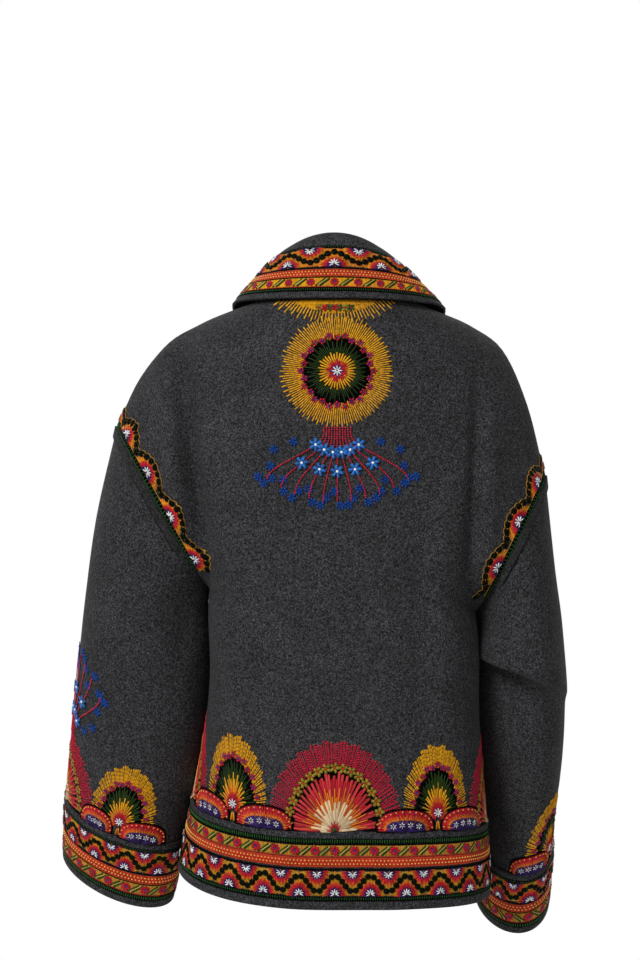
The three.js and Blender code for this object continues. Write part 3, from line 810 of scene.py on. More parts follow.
def collar_chart(reach: float = 400.0, first_turn: float = 0.8) -> Chart:
    """The chart of the collar's fall: s along it, t from the fold's level to its edge."""
    stations = np.linspace(-2, 2, 321)
    turns = np.linspace(2, first_turn, 121)
    from_edge = lengths(COLLAR.point(stations[:, None], turns[None, :]), axis=1)
    t = np.arange(0, COLLAR_FALL + STEP / 2, STEP)
    turn = np.stack([np.interp(COLLAR_FALL - t, row, turns, right=np.nan) for row in from_edge])
    lines = COLLAR.point(stations[:, None], np.nan_to_num(turn, nan=first_turn))
    s = np.arange(-reach, reach + STEP, STEP)
    where = numbered(lines, s)
    filled = np.nan_to_num(where, nan=0.0)
    turned = looked_up(turn, filled)
    station = np.interp(filled, np.arange(len(stations)), stations)
    safe = np.nan_to_num(turned, nan=1.0)
    point, normal = COLLAR.point(station, safe), COLLAR.normal(station, safe)
    point[np.isnan(where) | np.isnan(turned)] = np.nan
    return Chart(-reach, 0.0, point, normal)


def tree_of(grids: Sequence[Array]) -> BVHTree:
    """A search tree over grids of points."""
    points: list[list[float]] = []
    faces: list[tuple[int, int, int, int]] = []
    for grid in grids:
        rows, cols = grid.shape[:2]
        first = len(points)
        points.extend(grid.reshape(-1, 3).tolist())
        for r, c in np.ndindex(rows - 1, cols - 1):
            a = first + r * cols + c
            faces.append((a, a + 1, a + cols + 1, a + cols))
    return BVHTree.FromPolygons(points, faces)


def probed(s: Array, t: Array, find: Callable[[int, int], tuple], out: Array) -> Chart:
    """A chart whose places are found one by one on the cloth.

    Args:
        s: its lengths along.
        t: its lengths down.
        find: what a search tree finds for the numbers of a length along and a length down.
        out: the outward direction at each length along.

    Returns:
        The chart.
    """
    point, normal = np.full((len(s), len(t), 3), np.nan), np.zeros((len(s), len(t), 3))
    for i, j in np.ndindex(len(s), len(t)):
        hit, facing, _, _ = find(i, j)
        if hit is not None:
            point[i, j] = hit
            normal[i, j] = facing if facing.dot(Vector(out[i])) > 0 else -facing
    return Chart(float(s[0]), float(t[0]), point, normal)


def flat_chart(tree: BVHTree, x: Pair, z: Pair, behind: float = 400.0) -> Chart:
    """A chart of the upper back seen square on: s is x, and t runs down from z = 0."""
    s, t = np.arange(x[0], x[1] + STEP, STEP), np.arange(-z[1], -z[0] + STEP, STEP)

    def find(i: int, j: int) -> tuple:
        """What a ray from behind the back meets first."""
        return tree.ray_cast(Vector((s[i], behind, -t[j])), Vector((0, -1, 0)))

    return probed(s, t, find, np.tile((0.0, 1.0, 0.0), (len(s), 1)))


def armhole_chart(tree: BVHTree, side: Side, reach: float = 142.0, up: float = -44.0) -> Chart:
    """The chart on the body along an armhole: s from its top backwards, t down to the seam.

    Args:
        tree: the body's cloth.
        side: which armhole it is.
        reach: how many degrees it goes each way from the armhole's top.
        up: its uppermost t.

    Returns:
        The chart.
    """
    angles = np.linspace(-reach, reach, 241)
    line = armhole_point(side, angles)
    half = lengths(line)[-1] / 2
    s = np.arange(-math.floor(half / STEP) * STEP, half, STEP)
    angle = spaced_along(line, angles, s, len(angles) // 2)
    seam = armhole_point(side, angle)
    run = unit(armhole_point(side, angle + 0.5) - armhole_point(side, angle - 0.5))
    face = np.where(angle >= 0, Face.BACK, Face.FRONT)
    near_seam = np.full(len(angle), 0.96)
    facing = BODY.normal(np.full(len(angle), side), face, 1 + np.abs(angle) / 180, near_seam)
    # The way in from the seam turns softly where it goes over the shoulder.
    half_window = 8
    soft = np.ones(2 * half_window + 1) / (2 * half_window + 1)
    wide = np.pad(facing, ((half_window, half_window), (0, 0)), mode="edge")
    facing = unit(np.stack([np.convolve(wide[:, k], soft, "valid") for k in range(3)], axis=1))
    inward = unit(np.cross(facing, run))
    inward *= np.sign((inward * off_the_body(side)).sum(axis=1, keepdims=True))
    t = np.arange(up, STEP / 2, STEP)

    def find(i: int, j: int) -> tuple:
        """The cloth nearest to a place at this distance from the seam."""
        return tree.find_nearest(Vector(seam[i] - inward[i] * t[j]))

    return probed(s, t, find, facing)


# ---- finishes --------------------------------------------------------------------------


def srgb(code: str, shade: float = 1.0) -> tuple[float, float, float, float]:
    """A hex colour as linear values, made lighter or darker by shade."""
    channels = (int(code[i : i + 2], 16) / 255 for i in (1, 3, 5))
    linear = [c / 12.92 if c <= 0.04045 else ((c + 0.055) / 1.055) ** 2.4 for c in channels]
    return (*(min(c * shade, 1.0) for c in linear), 1.0)


def add(
    tree: bpy.types.NodeTree,
    kind: str,
    sockets: dict[str | int, object] | None = None,
    **settings: object,
) -> bpy.types.Node:
    """Adds a node to a material.

    Args:
        tree: the material's nodes.
        kind: the node's type, without its ShaderNode prefix.
        sockets: its inputs by name or number: a socket that feeds one, or its value.
        settings: its properties, and values of its inputs by their names in lower case with
            underscores.

    Returns:
        The node.
    """
    node = tree.nodes.new("ShaderNode" + kind)
    inputs = {s.name.lower().replace(" ", "_"): s for s in reversed(node.inputs)}
    for name, value in settings.items():
        if hasattr(node, name):
            setattr(node, name, value)
        else:
            inputs[name].default_value = value
    for key, source in (sockets or {}).items():
        if isinstance(source, bpy.types.NodeSocket):
            tree.links.new(source, node.inputs[key])
        else:
            node.inputs[key].default_value = source
    return node


def noise(
    tree: bpy.types.NodeTree, place: bpy.types.NodeSocket, size_mm: float, **settings: float
) -> bpy.types.Node:
    """Adds a noise whose waves are about size_mm long."""
    return add(tree, "TexNoise", {"Vector": place}, scale=1 / (size_mm * MM), **settings)


def fresh(name: str) -> tuple[bpy.types.Material, bpy.types.NodeTree]:
    """A new material with an empty tree but for its output."""
    material = bpy.data.materials.new(name)
    material.use_nodes = True
    tree = material.node_tree
    tree.nodes.clear()
    tree.nodes.new("ShaderNodeOutputMaterial")
    return material, tree


def shade(tree: bpy.types.NodeTree, sockets: dict[str | int, object], **settings: object) -> None:
    """Adds the shader that the tree's output shows."""
    shader = add(tree, "BsdfPrincipled", sockets, **settings)
    output = next(n for n in tree.nodes if n.type == "OUTPUT_MATERIAL")
    tree.links.new(shader.outputs["BSDF"], output.inputs["Surface"])


@dataclass(frozen=True)
class FeltedWool:
    """Fulled melange wool cloth: matt, cloudy grey with pale and black hairs in it."""

    name: str
    dark: str = "#0F0F10"
    middle: str = "#202021"
    pale: str = "#5D5D61"
    fleck_mm: float = 1.9  # felted locks, drawn a little coarser than real so that they show
    hair_mm: float = 3.4  # how far apart the pale curled hairs lie on the face
    fibre_mm: float = 0.5
    cloud_mm: float = 45.0
    bend: float = 0.004  # how far the locks are bent out of line, in metres

    def material(self) -> bpy.types.Material:
        """The wool's material."""
        material, tree = fresh(self.name)
        place = add(tree, "TexCoord").outputs["Object"]
        warp = noise(tree, place, 3 * self.fleck_mm, detail=1.0)
        bent = add(
            tree,
            "VectorMath",
            {0: warp.outputs["Color"], 1: (self.bend,) * 3, 2: place},
            operation="MULTIPLY_ADD",
        )
        flecks = noise(tree, bent.outputs["Vector"], self.fleck_mm, detail=4.0, roughness=0.62)
        tones = add(tree, "ValToRGB", {"Fac": flecks.outputs["Fac"]})
        ramp = tones.color_ramp.elements
        ramp[0].position, ramp[0].color = 0.32, srgb(self.dark)
        ramp[1].position, ramp[1].color = 0.53, srgb(self.middle)
        ramp.new(0.74).color = srgb(self.pale)
        curl = noise(tree, place, self.hair_mm, detail=2.0, distortion=0.7)
        crest = add(tree, "Math", {0: curl.outputs["Fac"], 1: 0.5}, operation="PINGPONG")
        hair = add(
            tree,
            "MapRange",
            {"Value": crest.outputs["Value"]},
            from_min=0.455,
            from_max=0.5,
            to_min=0.0,
            to_max=0.75,
        )
        haired = add(
            tree,
            "Mix",
            {0: hair.outputs["Result"], 6: tones.outputs["Color"], 7: srgb(self.pale)},
            data_type="RGBA",
        )
        clouds = noise(tree, place, self.cloud_mm, detail=3.0)
        veil = add(
            tree,
            "MapRange",
            {"Value": clouds.outputs["Fac"]},
            from_min=0.3,
            from_max=0.7,
            to_min=0.86,
            to_max=1.12,
        )
        colour = add(
            tree,
            "Mix",
            {0: 1.0, 6: haired.outputs[2], 7: veil.outputs["Result"]},
            data_type="RGBA",
            blend_type="MULTIPLY",
        )
        fibres = noise(tree, place, self.fibre_mm, detail=2.0)
        nap = add(tree, "Bump", {"Height": fibres.outputs["Fac"]}, strength=0.5, distance=0.0004)
        felt = add(
            tree,
            "Bump",
            {"Height": flecks.outputs["Fac"], "Normal": nap.outputs["Normal"]},
            strength=0.55,
            distance=0.0012,
        )
        shade(
            tree,
            {"Base Color": colour.outputs[2], "Normal": felt.outputs["Normal"]},
            roughness=0.93,
            sheen_weight=0.04,
            sheen_roughness=0.4,
            specular_ior_level=0.25,
        )
        return material


class Thread(Enum):
    """Mercerised cotton threads, soft and a little lustrous."""

    GOLD = "#EAA812"
    STRAW = "#C8922C"
    AMBER = "#E68A1C"
    ORANGE = "#DE5A1E"
    SCARLET = "#CC3420"
    CRIMSON = "#C2142A"
    CHERRY = "#D62040"
    CORAL = "#D23A3C"
    MAGENTA = "#C01450"
    CREAM = "#F0D2A6"
    WHITE = "#FFFFFF"
    PURPLE = "#2C1658"
    NAVY = "#0B4294"
    BLUE = "#2C74C6"
    BLACK = "#050604"
    LEAF = "#2C5F28"
    MOSS = "#2A440F"
    OLIVE = "#A08A26"
    FLAX = "#F0CC5C"

    def material(self, deeper: bool) -> bpy.types.Material:
        """The thread's material, in one of its two dye lots.

        Args:
            deeper: whether it is the darker lot, which keeps a field of stitches lively.

        Returns:
            A plain material, because its pattern is the stitches themselves.
        """
        material, tree = fresh(f"cotton_{self.name.lower()}_{'deep' if deeper else 'clear'}")
        # Black cotton is dull, so that the wheels and the outlines stay deep.
        dull = self is BLACK
        shade(
            tree,
            {"Base Color": srgb(self.value, DEEP_SHADE if deeper else 1.0)},
            roughness=0.55,
            sheen_weight=0.0 if dull else 0.03,
            sheen_roughness=0.4,
            specular_ior_level=0.05 if dull else 0.22,
        )
        return material


THREADS = list(Thread)
(
    GOLD, STRAW, AMBER, ORANGE, SCARLET, CRIMSON, CHERRY, CORAL, MAGENTA, CREAM,
    WHITE, PURPLE, NAVY, BLUE, BLACK, LEAF, MOSS, OLIVE, FLAX,
) = THREADS  # fmt: skip


# ---- making meshes ---------------------------------------------------------------------


def new_object(name: str, mesh: bpy.types.Mesh) -> bpy.types.Object:
    """An object with this mesh, in the scene."""
    made = bpy.data.objects.new(name, mesh)
    bpy.context.scene.collection.objects.link(made)
    return made


@dataclass
class Cloth:
    """A piece of cloth: a grid of points on its outer face, and its thickness.

    The rows and columns of outer are places of the surface, in mm. A closed piece is a
    tube, whose last column is its first. It stands for a node of the frame, and slot is its
    material there.
    """

    name: str
    node: str
    slot: str
    outer: Array
    facing: Array
    thick: float = BAND
    closed: bool = False

    def area(self) -> float:
        """The area of its outer face in square metres."""
        g = self.outer * MM
        a, b, c, d = g[:-1, :-1], g[:-1, 1:], g[1:, 1:], g[1:, :-1]
        return float(np.linalg.norm(np.cross(c - a, d - b), axis=-1).sum() / 2)

    def extent(self) -> Pair:
        """The greatest lengths across and along, in metres."""
        g = self.outer * MM
        return float(lengths(g, 1)[:, -1].max()), float(lengths(g, 0)[-1].max())

    def build(self, material: bpy.types.Material) -> bpy.types.Object:
        """Makes the piece.

        Args:
            material: its finish.

        Returns:
            The object, with its thickness applied.
        """
        rows, cols = self.outer.shape[:2]
        bm = bmesh.new()
        bmesh.ops.create_grid(bm, x_segments=cols - 1, y_segments=rows - 1, size=0.5)
        mesh = bpy.data.meshes.new(self.name)
        bm.to_mesh(mesh)
        bm.free()
        mesh.vertices.foreach_set("co", (self.outer * MM).astype(np.float32).ravel())
        mesh.update()
        bm = bmesh.new()
        bm.from_mesh(mesh)
        if self.closed:
            bmesh.ops.remove_doubles(bm, verts=bm.verts, dist=1e-6)
        bm.faces.ensure_lookup_table()
        probe = bm.faces[len(bm.faces) // 2]
        nearest = np.linalg.norm(self.outer * MM - np.array(probe.verts[0].co), axis=-1).argmin()
        if probe.normal.dot(Vector(self.facing.reshape(-1, 3)[nearest])) < 0:
            bmesh.ops.reverse_faces(bm, faces=bm.faces)
        bm.to_mesh(mesh)
        bm.free()
        mesh.materials.append(material)
        made = new_object(self.name, mesh)
        shell = made.modifiers.new("thickness", "SOLIDIFY")
        shell.thickness = self.thick * MM
        shell.offset = -1
        edge = made.modifiers.new("rim", "BEVEL")
        edge.width = RIM * MM
        edge.segments = 2
        edge.limit_method = "ANGLE"
        edge.angle_limit = math.radians(60)
        bpy.context.view_layer.objects.active = made
        for modifier in list(made.modifiers):
            bpy.ops.object.modifier_apply(modifier=modifier.name)
        made.data.shade_smooth()
        return made


class Grain(Enum):
    """The forms that a stitch is made from: how many sides and rings each one has."""

    SHORT = (3, 2)
    MIDDLE = (3, 3)
    LONG = (3, 5)
    KNOT = (6, 3)
    WHEEL = (10, 4)

    def form(self) -> tuple[Array, Array]:
        """The form's points as (along, across, up) shares, and its triangles."""
        sides, rings = self.value
        bm = bmesh.new()
        bmesh.ops.create_uvsphere(bm, u_segments=sides, v_segments=rings, radius=1)
        bmesh.ops.triangulate(bm, faces=bm.faces)
        bm.verts.index_update()
        points = np.array([v.co for v in bm.verts])
        faces = np.array([[v.index for v in f.verts] for f in bm.faces])
        bm.free()
        if sides > 3:
            return points, faces
        angle = np.arctan2(points[:, 1], points[:, 0])
        full = np.hypot(points[:, 0], points[:, 1]) > 0.01
        along = np.arccos(np.clip(points[:, 2], -1, 1)) / math.pi
        across = np.where(full, np.sin(angle) / math.sqrt(3), 0)
        up = np.where(full, (1 + 2 * np.cos(angle)) / 3, 0.3)
        return np.stack([along, across, up], axis=1), faces


def evenly(s: Pair, pitch: float) -> tuple[Array, float]:
    """The middles of equal parts of a length, each about pitch long, and their length."""
    count = max(1, round((s[1] - s[0]) / pitch))
    step = (s[1] - s[0]) / count
    return s[0] + (np.arange(count) + 0.5) * step, step


def moved(place: Pair, by: Pair, times: float = 1.0) -> Pair:
    """A place of a chart moved by an offset."""
    return (place[0] + by[0] * times, place[1] + by[1] * times)


def towards(degrees: float) -> Pair:
    """The offset by 1 mm at an angle from straight up."""
    a = math.radians(degrees)
    return (math.sin(a), -math.cos(a))


class Needlework:
    """Stitches worked on one chart and gathered into one piece."""

    def __init__(self, name: str, chart: Chart, seed: int) -> None:
        """Starts a piece without stitches.

        Args:
            name: the piece's name.
            chart: what it is worked on.
            seed: where its random numbers start.
        """
        self.name = name
        self.chart = chart
        self.dice = random.Random(seed)
        self.work: dict[Grain, list[tuple[float, ...]]] = {grain: [] for grain in Grain}

    def stitch(
        self,
        start: Pair,
        stop: Pair,
        thread: Thread,
        width: float,
        height: float = 0.7,
        lift: float = 0.0,
    ) -> None:
        """One stitch between two places of the chart, in mm."""
        length = math.dist(start, stop)
        if length < 0.2:
            return
        grain = Grain.SHORT
        if length > SHORT_STITCH:
            grain = Grain.MIDDLE if length < LONG_STITCH else Grain.LONG
        lot = self.dice.random() < DEEP_SHARE
        self.work[grain].append(
            (*start, *stop, width, height, lift, 2 * THREADS.index(thread) + lot)
        )

    def knot(
        self, place: Pair, thread: Thread, size: float, height: float = 0.9, lift: float = 0.0
    ) -> None:
        """A small round knot."""
        self.work[Grain.KNOT].append((*place, 0, 0, size, height, lift, 2 * THREADS.index(thread)))

    def wheel(self, place: Pair, size: float, lift: float) -> None:
        """A round of dark buttonhole stitch: a low dome with rays on it."""
        self.work[Grain.WHEEL].append((*place, 0, 0, size, 0.9, lift, 2 * THREADS.index(BLACK)))
        turn = self.dice.random() * 60
        for k in range(7):
            way = towards(turn + 360 / 7 * k)
            ends = moved(place, way, size * 0.14), moved(place, way, size * 0.4)
            self.stitch(*ends, MOSS, 0.5, 0.45, lift + 0.55)

    def chain(self, path: Array, count: int, size: float, lift: float) -> None:
        """Wheels at equal steps along a path."""
        steps = lengths(path)
        for mark in np.linspace(0, steps[-1], count):
            place = tuple(float(np.interp(mark, steps, path[:, k])) for k in (0, 1))
            self.wheel(place, size, lift)

    def run(
        self,
        path: Sequence[Pair] | Array,
        thread: Thread,
        width: float,
        length: float = 3.0,
        **more: float,
    ) -> None:
        """Stitches of about one length, end to end along a path."""
        points = np.asarray(path, float)
        reach = lengths(points)
        count = max(1, round(reach[-1] / length))
        marks = np.linspace(0, reach[-1], count + 1)
        xs, ys = np.interp(marks, reach, points[:, 0]), np.interp(marks, reach, points[:, 1])
        over = 0.12
        for k in range(count):
            start, stop = (xs[k], ys[k]), (xs[k + 1], ys[k + 1])
            by = (stop[0] - start[0], stop[1] - start[1])
            self.stitch(moved(start, by, -over), moved(stop, by, over), thread, width, **more)

    def line(self, s: Pair, level: float, *how: object, **more: float) -> None:
        """A run of stitches along one level."""
        self.run([(s[0], level), (s[1], level)], *how, **more)

    def satin(
        self, s: Pair, t: Pair, thread: Thread, pitch: float, ragged: float = 0.0
    ) -> None:
        """A field of parallel stitches across a strip."""
        places, step = evenly(s, pitch)
        for x in places:
            loose = [self.dice.uniform(-ragged, ragged) for _ in range(2)]
            self.stitch((x, t[0] + loose[0]), (x, t[1] + loose[1]), thread, step * 1.35, 0.55)

    def rays(
        self,
        centre: Pair,
        inner: Shape,
        outer: Shape,
        count: int,
        thread: Thread,
        width: float,
        angles: Pair | float,
        lift: float = 0.0,
        height: float = 0.7,
        ragged: float = 0.0,
        uneven: float = 0.0,
        grains: float = 0.0,
        floor: float | None = None,
    ) -> None:
        """Stitches that run out from a centre.

        Args:
            centre: where they start from.
            inner: offset of a ray's start at an angle, 0 being up, in degrees.
            outer: offset of its end.
            count: how many there are.
            thread: their thread.
            width: their width in mm.
            angles: the first and the last angle, or how far they go each way.
            lift: how far they lie over the cloth.
            height: how far they stand up.
            ragged: how much their ends vary, in mm.
            uneven: how much shorter every second one is, as a share.
            grains: if given, each ray is a row of short stitches of this length.
            floor: rays are cut off where t would be greater than this.
        """
        first, last = angles if isinstance(angles, tuple) else (-angles, angles)
        full = last - first >= 359
        step = (last - first) / (count if full else max(1, count - 1))
        for k in range(count):
            angle = first + k * step
            if ragged and not full:
                angle += self.dice.uniform(-0.3, 0.3) * step
            a, b = inner(angle), outer(angle)
            share = 1 - (uneven if k % 2 else 0)
            reach = math.dist(a, b) or 1
            share += self.dice.uniform(-ragged, ragged) / reach
            if grains:
                back = self.dice.uniform(0, grains) / reach
                a = (a[0] - (b[0] - a[0]) * back, a[1] - (b[1] - a[1]) * back)
            start = moved(centre, a)
            stop = moved(start, (b[0] - a[0], b[1] - a[1]), share)
            if floor is not None:
                if start[1] > floor:
                    continue
                if stop[1] > floor:
                    cut = (floor - start[1]) / (stop[1] - start[1])
                    stop = (start[0] + (stop[0] - start[0]) * cut, floor)
            if grains:
                self.run([start, stop], thread, width, grains, height=height, lift=lift)
            else:
                self.stitch(start, stop, thread, width, height, lift)

    def star(
        self,
        centre: Pair,
        size: float,
        thread: Thread = Thread.WHITE,
        count: int = 8,
        width: float = 1.5,
        lift: float = 1.0,
    ) -> None:
        """A star of straight stitches."""
        shape = (ellipse(0.3), ellipse(size))
        self.rays(centre, *shape, count, thread, width, WHOLE_TURN, lift, 0.8)

    def blossom(
        self,
        centre: Pair,
        size: float,
        petal: Thread,
        eye: Thread,
        petals: int = 5,
        lift: float = 0.9,
        plump: float = 0.62,
    ) -> None:
        """A small flower of plump petals round a knot."""
        turn = self.dice.random() * 360 / petals
        for k in range(petals):
            way = towards(turn + 360 * k / petals)
            ends = moved(centre, way, size * 0.1), moved(centre, way, size)
            self.stitch(*ends, petal, size * plump, 0.8, lift)
        self.knot(centre, eye, size * 0.46, 0.8, lift + 0.5)

    def build(self, materials: Sequence[bpy.types.Material]) -> bpy.types.Object:
        """Makes the piece from all its stitches.

        Args:
            materials: two dye lots for each thread, in the threads' order.

        Returns:
            The object.
        """
        points, triangles, slots = [], [], []
        first = 0
        for grain, rows in self.work.items():
            if not rows:
                continue
            form, faces = grain.form()
            s0, t0, s1, t1, width, height, lift, slot = (c[:, None] for c in np.array(rows).T)
            a, b, c = form.T
            if grain in (Grain.KNOT, Grain.WHEEL):
                s, t = s0 + a * width / 2, t0 + b * width / 2
                up = lift + c * height
            else:
                ds, dt = s1 - s0, t1 - t0
                length = np.hypot(ds, dt)
                # The tips taper over the same length however long the stitch is.
                rings = grain.value[1]
                tip = np.minimum(1.0 / rings, 1.4 / length)
                spread = (a * rings - 1) / max(1, rings - 2)
                along = np.where(a < 0.01, 0, np.where(a > 0.99, 1, tip + (1 - 2 * tip) * spread))
                if rings == 2:
                    along = np.broadcast_to(a, along.shape)
                s = s0 + ds * along - dt / length * b * width
                t = t0 + dt * along + ds / length * b * width
                up = lift - SUNK + c * (height + SUNK)
            place, normal = self.chart.at(s, t)
            place = place + normal * np.broadcast_to(up, s.shape)[..., None]
            good = ~np.isnan(place).any(axis=(1, 2))
            place, slot = place[good], slot[good]
            if not len(place):
                continue
            offset = first + len(form) * np.arange(len(place))
            points.append(place.reshape(-1, 3))
            triangles.append((faces[None] + offset[:, None, None]).reshape(-1, 3))
            slots.append(np.repeat(slot[:, 0].astype(int), len(faces)))
            first += len(form) * len(place)
        mesh = bpy.data.meshes.new(self.name)
        used, index = np.unique(np.concatenate(slots), return_inverse=True)
        for slot in used:
            mesh.materials.append(materials[slot])
        mesh.from_pydata(
            (np.concatenate(points) * MM).tolist(), [], np.concatenate(triangles).tolist()
        )
        mesh.polygons.foreach_set("material_index", index.astype(np.int32).ravel())
        bm = bmesh.new()
        bm.from_mesh(mesh)
        bmesh.ops.recalc_face_normals(bm, faces=bm.faces)
        bm.to_mesh(mesh)
        bm.free()
        mesh.shade_smooth()
        log.info("%s: %d triangles", self.name, len(mesh.polygons))
        return new_object(self.name, mesh)


def ellipse(wide: float, high: float | None = None, low: float | None = None) -> Shape:
    """Offsets from a centre at an angle from straight up, on an ellipse.

    Args:
        wide: its half width.
        high: how far it reaches up, if not as far.
        low: how far it reaches down, if not as far as up.

    Returns:
        A function from an angle in degrees to an offset in s and t.
    """
    high = wide if high is None else high
    low = high if low is None else low

    def offset(angle: float) -> Pair:
        """The ellipse's offset at an angle."""
        a = math.radians(angle)
        reach = high if math.cos(a) > 0 else low
        return (wide * math.sin(a), -reach * math.cos(a))

    return offset


def stepped(shape: Shape, steps: float, depth: float) -> Shape:
    """A shape whose edge goes down in steps on either side of its top."""

    def offset(angle: float) -> Pair:
        """The shape's offset at an angle, drawn in towards the foot of its step."""
        phase = (abs(angle) * steps / 90) % 1
        share = 1 - depth * (1 - phase) ** 1.3
        x, y = shape(angle)
        return (x * share, y * share)

    return offset


def places_on(shape: Shape, centre: Pair, reach: float, count: int) -> list[Pair]:
    """Places on a shape round a centre, spread evenly over reach degrees each way."""
    return [moved(centre, shape(-reach + 2 * reach * k / (count - 1))) for k in range(count)]


# ---- motifs ----------------------------------------------------------------------------


def rings(
    work: Needlework, centre: Pair, *rows: Sequence[object], floor: float | None = None
) -> None:
    """Works rings of rays round a centre.

    Args:
        work: the needlework they belong to.
        centre: their middle.
        rows: what rays takes for each ring: the shapes it starts and ends on, the count, the
            thread, the width, the degrees, and, where they aren't the usual ones, the lift,
            the height, how ragged and how uneven it is, and its grains.
        floor: rays are cut off where t would be greater than this.
    """
    for row in rows:
        work.rays(centre, *row, floor=floor)


def half_flower(
    work: Needlework, centre: Pair, size: float, up: float = 1.0, tall: float = 1.2
) -> None:
    """Half a star flower at a band's edge: white star, purple, red and amber rays.

    Args:
        work: the needlework it belongs to.
        centre: the middle of its straight side.
        size: its half width.
        up: 1 if it opens upwards and -1 if it opens downwards.
        tall: its height as a share of its half width.
    """
    way = 0.0 if up > 0 else 180.0
    lift = 0.3
    table = (
        # inner, outer, count, width, thread
        (0.72, 1.00, 27, 1.4, GOLD),
        (0.56, 0.93, 23, 1.9, ORANGE),
        (0.38, 0.80, 19, 2.2, CRIMSON),
        (0.05, 0.57, 13, 2.6, PURPLE),
    )
    for layer, (inner, outer, count, width, thread) in enumerate(table):
        shape = [ellipse(size * share, size * share * tall) for share in (inner, outer)]
        width *= size / 15
        angles, over = (way - 88, way + 88), lift + 0.28 * layer
        work.rays(centre, *shape, count, thread, width, angles, over, ragged=0.5, uneven=0.16)
    heart = (centre[0], centre[1] - up * size * 0.17)
    shape = (ellipse(0.4), ellipse(size * 0.37))
    span = (way - 116, way + 116)
    work.rays(heart, *shape, 7, WHITE, 0.085 * size, span, lift + 1.6, 0.8)


def crimson_fan(work: Needlework, centre: Pair, scale: float = 1.0) -> None:
    """A great half sun: cream heart, gold and coral rays, olive blossoms, crimson rays."""

    def at(share: float) -> Shape:
        """The fan's outline at a share of its size."""
        return ellipse(78 * scale * share, 103 * scale * share)

    rings(
        work,
        centre,
        (at(0.42), at(0.76), 80, BLACK, 3.4 * scale, 89),
        (at(0.74), stepped(at(1.02), 8, 0.055), 122, CHERRY, 1.95, 89, 0.3, 0.7, 0.8, 0, 2.9),
        (at(0.22), at(0.65), 29, CORAL, 3.7 * scale, 87, 0.45, 0.8, 2.8),
        (at(0.22), at(0.585), 33, CRIMSON, 3.4 * scale, 84, 0.4, 0.8, 3.2),
        (at(0.14), at(0.5), 37, AMBER, 1.45, 86, 0.95, 0.7, 4.0, 0.24),
        (at(0.12), at(0.41), 33, ORANGE, 1.5, 84, 0.9, 0.7, 4.0, 0.2),
        (at(0.05), at(0.34), 15, CREAM, 3.7 * scale, 84, 1.15, 0.8, 2.6),
        (at(0.05), at(0.24), 17, CREAM, 4.2 * scale, 88, 1.1, 0.8, 2.0),
        (at(0.02), at(0.115), 13, CRIMSON, 1.2, 88, 2.0, 0.7, 0, 0.3),
        (at(0.0), at(0.045), 7, LEAF, 1.6, 80, 2.4),
    )
    for place in places_on(stepped(at(1.025), 8, 0.055), centre, 88, 61):
        work.knot(place, CORAL, 1.8, 0.9, 0.3)
    for place in places_on(at(0.695), moved(centre, (0, -1)), 84, 17):
        work.blossom(place, 6.4 * scale, OLIVE, SCARLET, 5, 1.0, 0.66)


def golden_fan(work: Needlework, centre: Pair, scale: float = 1.0) -> None:
    """A tall golden sun on a stem: white star, red ring, gold, dark green, blossoms, gold."""
    star = (centre[0], centre[1] - 20 * scale)

    def at(wide: float, high: float, low: float) -> Shape:
        """An egg round the star, by its half width and how far it reaches up and down."""
        return ellipse(wide * scale, high * scale, low * scale)

    rim = stepped(at(43, 81, 30), 6, 0.06)
    rings(
        work,
        star,
        (at(12, 24, 12), at(29, 54, 26), 64, BLACK, 3.1, 122),
        (at(30, 55, 25), rim, 104, GOLD, 1.6, 122, 0.2, 0.7, 1.0, 0, 4.6),
        (at(14, 28, 13), at(26, 49, 22), 50, MOSS, 1.25, 122, 0.55, 0.7, 3.0, 0.25),
        (at(7, 12, 7), at(18.5, 35, 15), 29, GOLD, 2.0, 140, 0.6, 0.8, 1.6, 0.2),
        (at(6, 9, 6), at(13.5, 21, 12), 25, ORANGE, 1.7, 140, 0.85, 0.8, 1.4, 0.2),
        (at(3, 3, 3), at(9, 13.5, 10), 20, CRIMSON, 2.0, 150, 1.1),
        floor=-1,
    )
    work.star(star, 6.2 * scale, NAVY, width=1.7, lift=1.4)
    work.star(star, 6.0 * scale, width=1.35, lift=2.2)
    for k, thread in ((-1, GOLD), (0, ORANGE), (1, GOLD)):
        foot = (centre[0] + 2.2 * k, centre[1] - 0.5)
        work.stitch((star[0] + 0.8 * k, star[1] + 9 * scale), foot, thread, 1.5, lift=0.9)
    count = 19
    for k in range(count):
        away = 1.5 if k % 2 else -1.0
        place = places_on(at(29.5 + away, 55 + away, 24), star, 116, count)[k]
        if place[1] < -2:
            thread = MAGENTA if k % 3 else CRIMSON
            work.blossom(place, 4.6 * scale, thread, NAVY, 5, 0.9, 0.8)


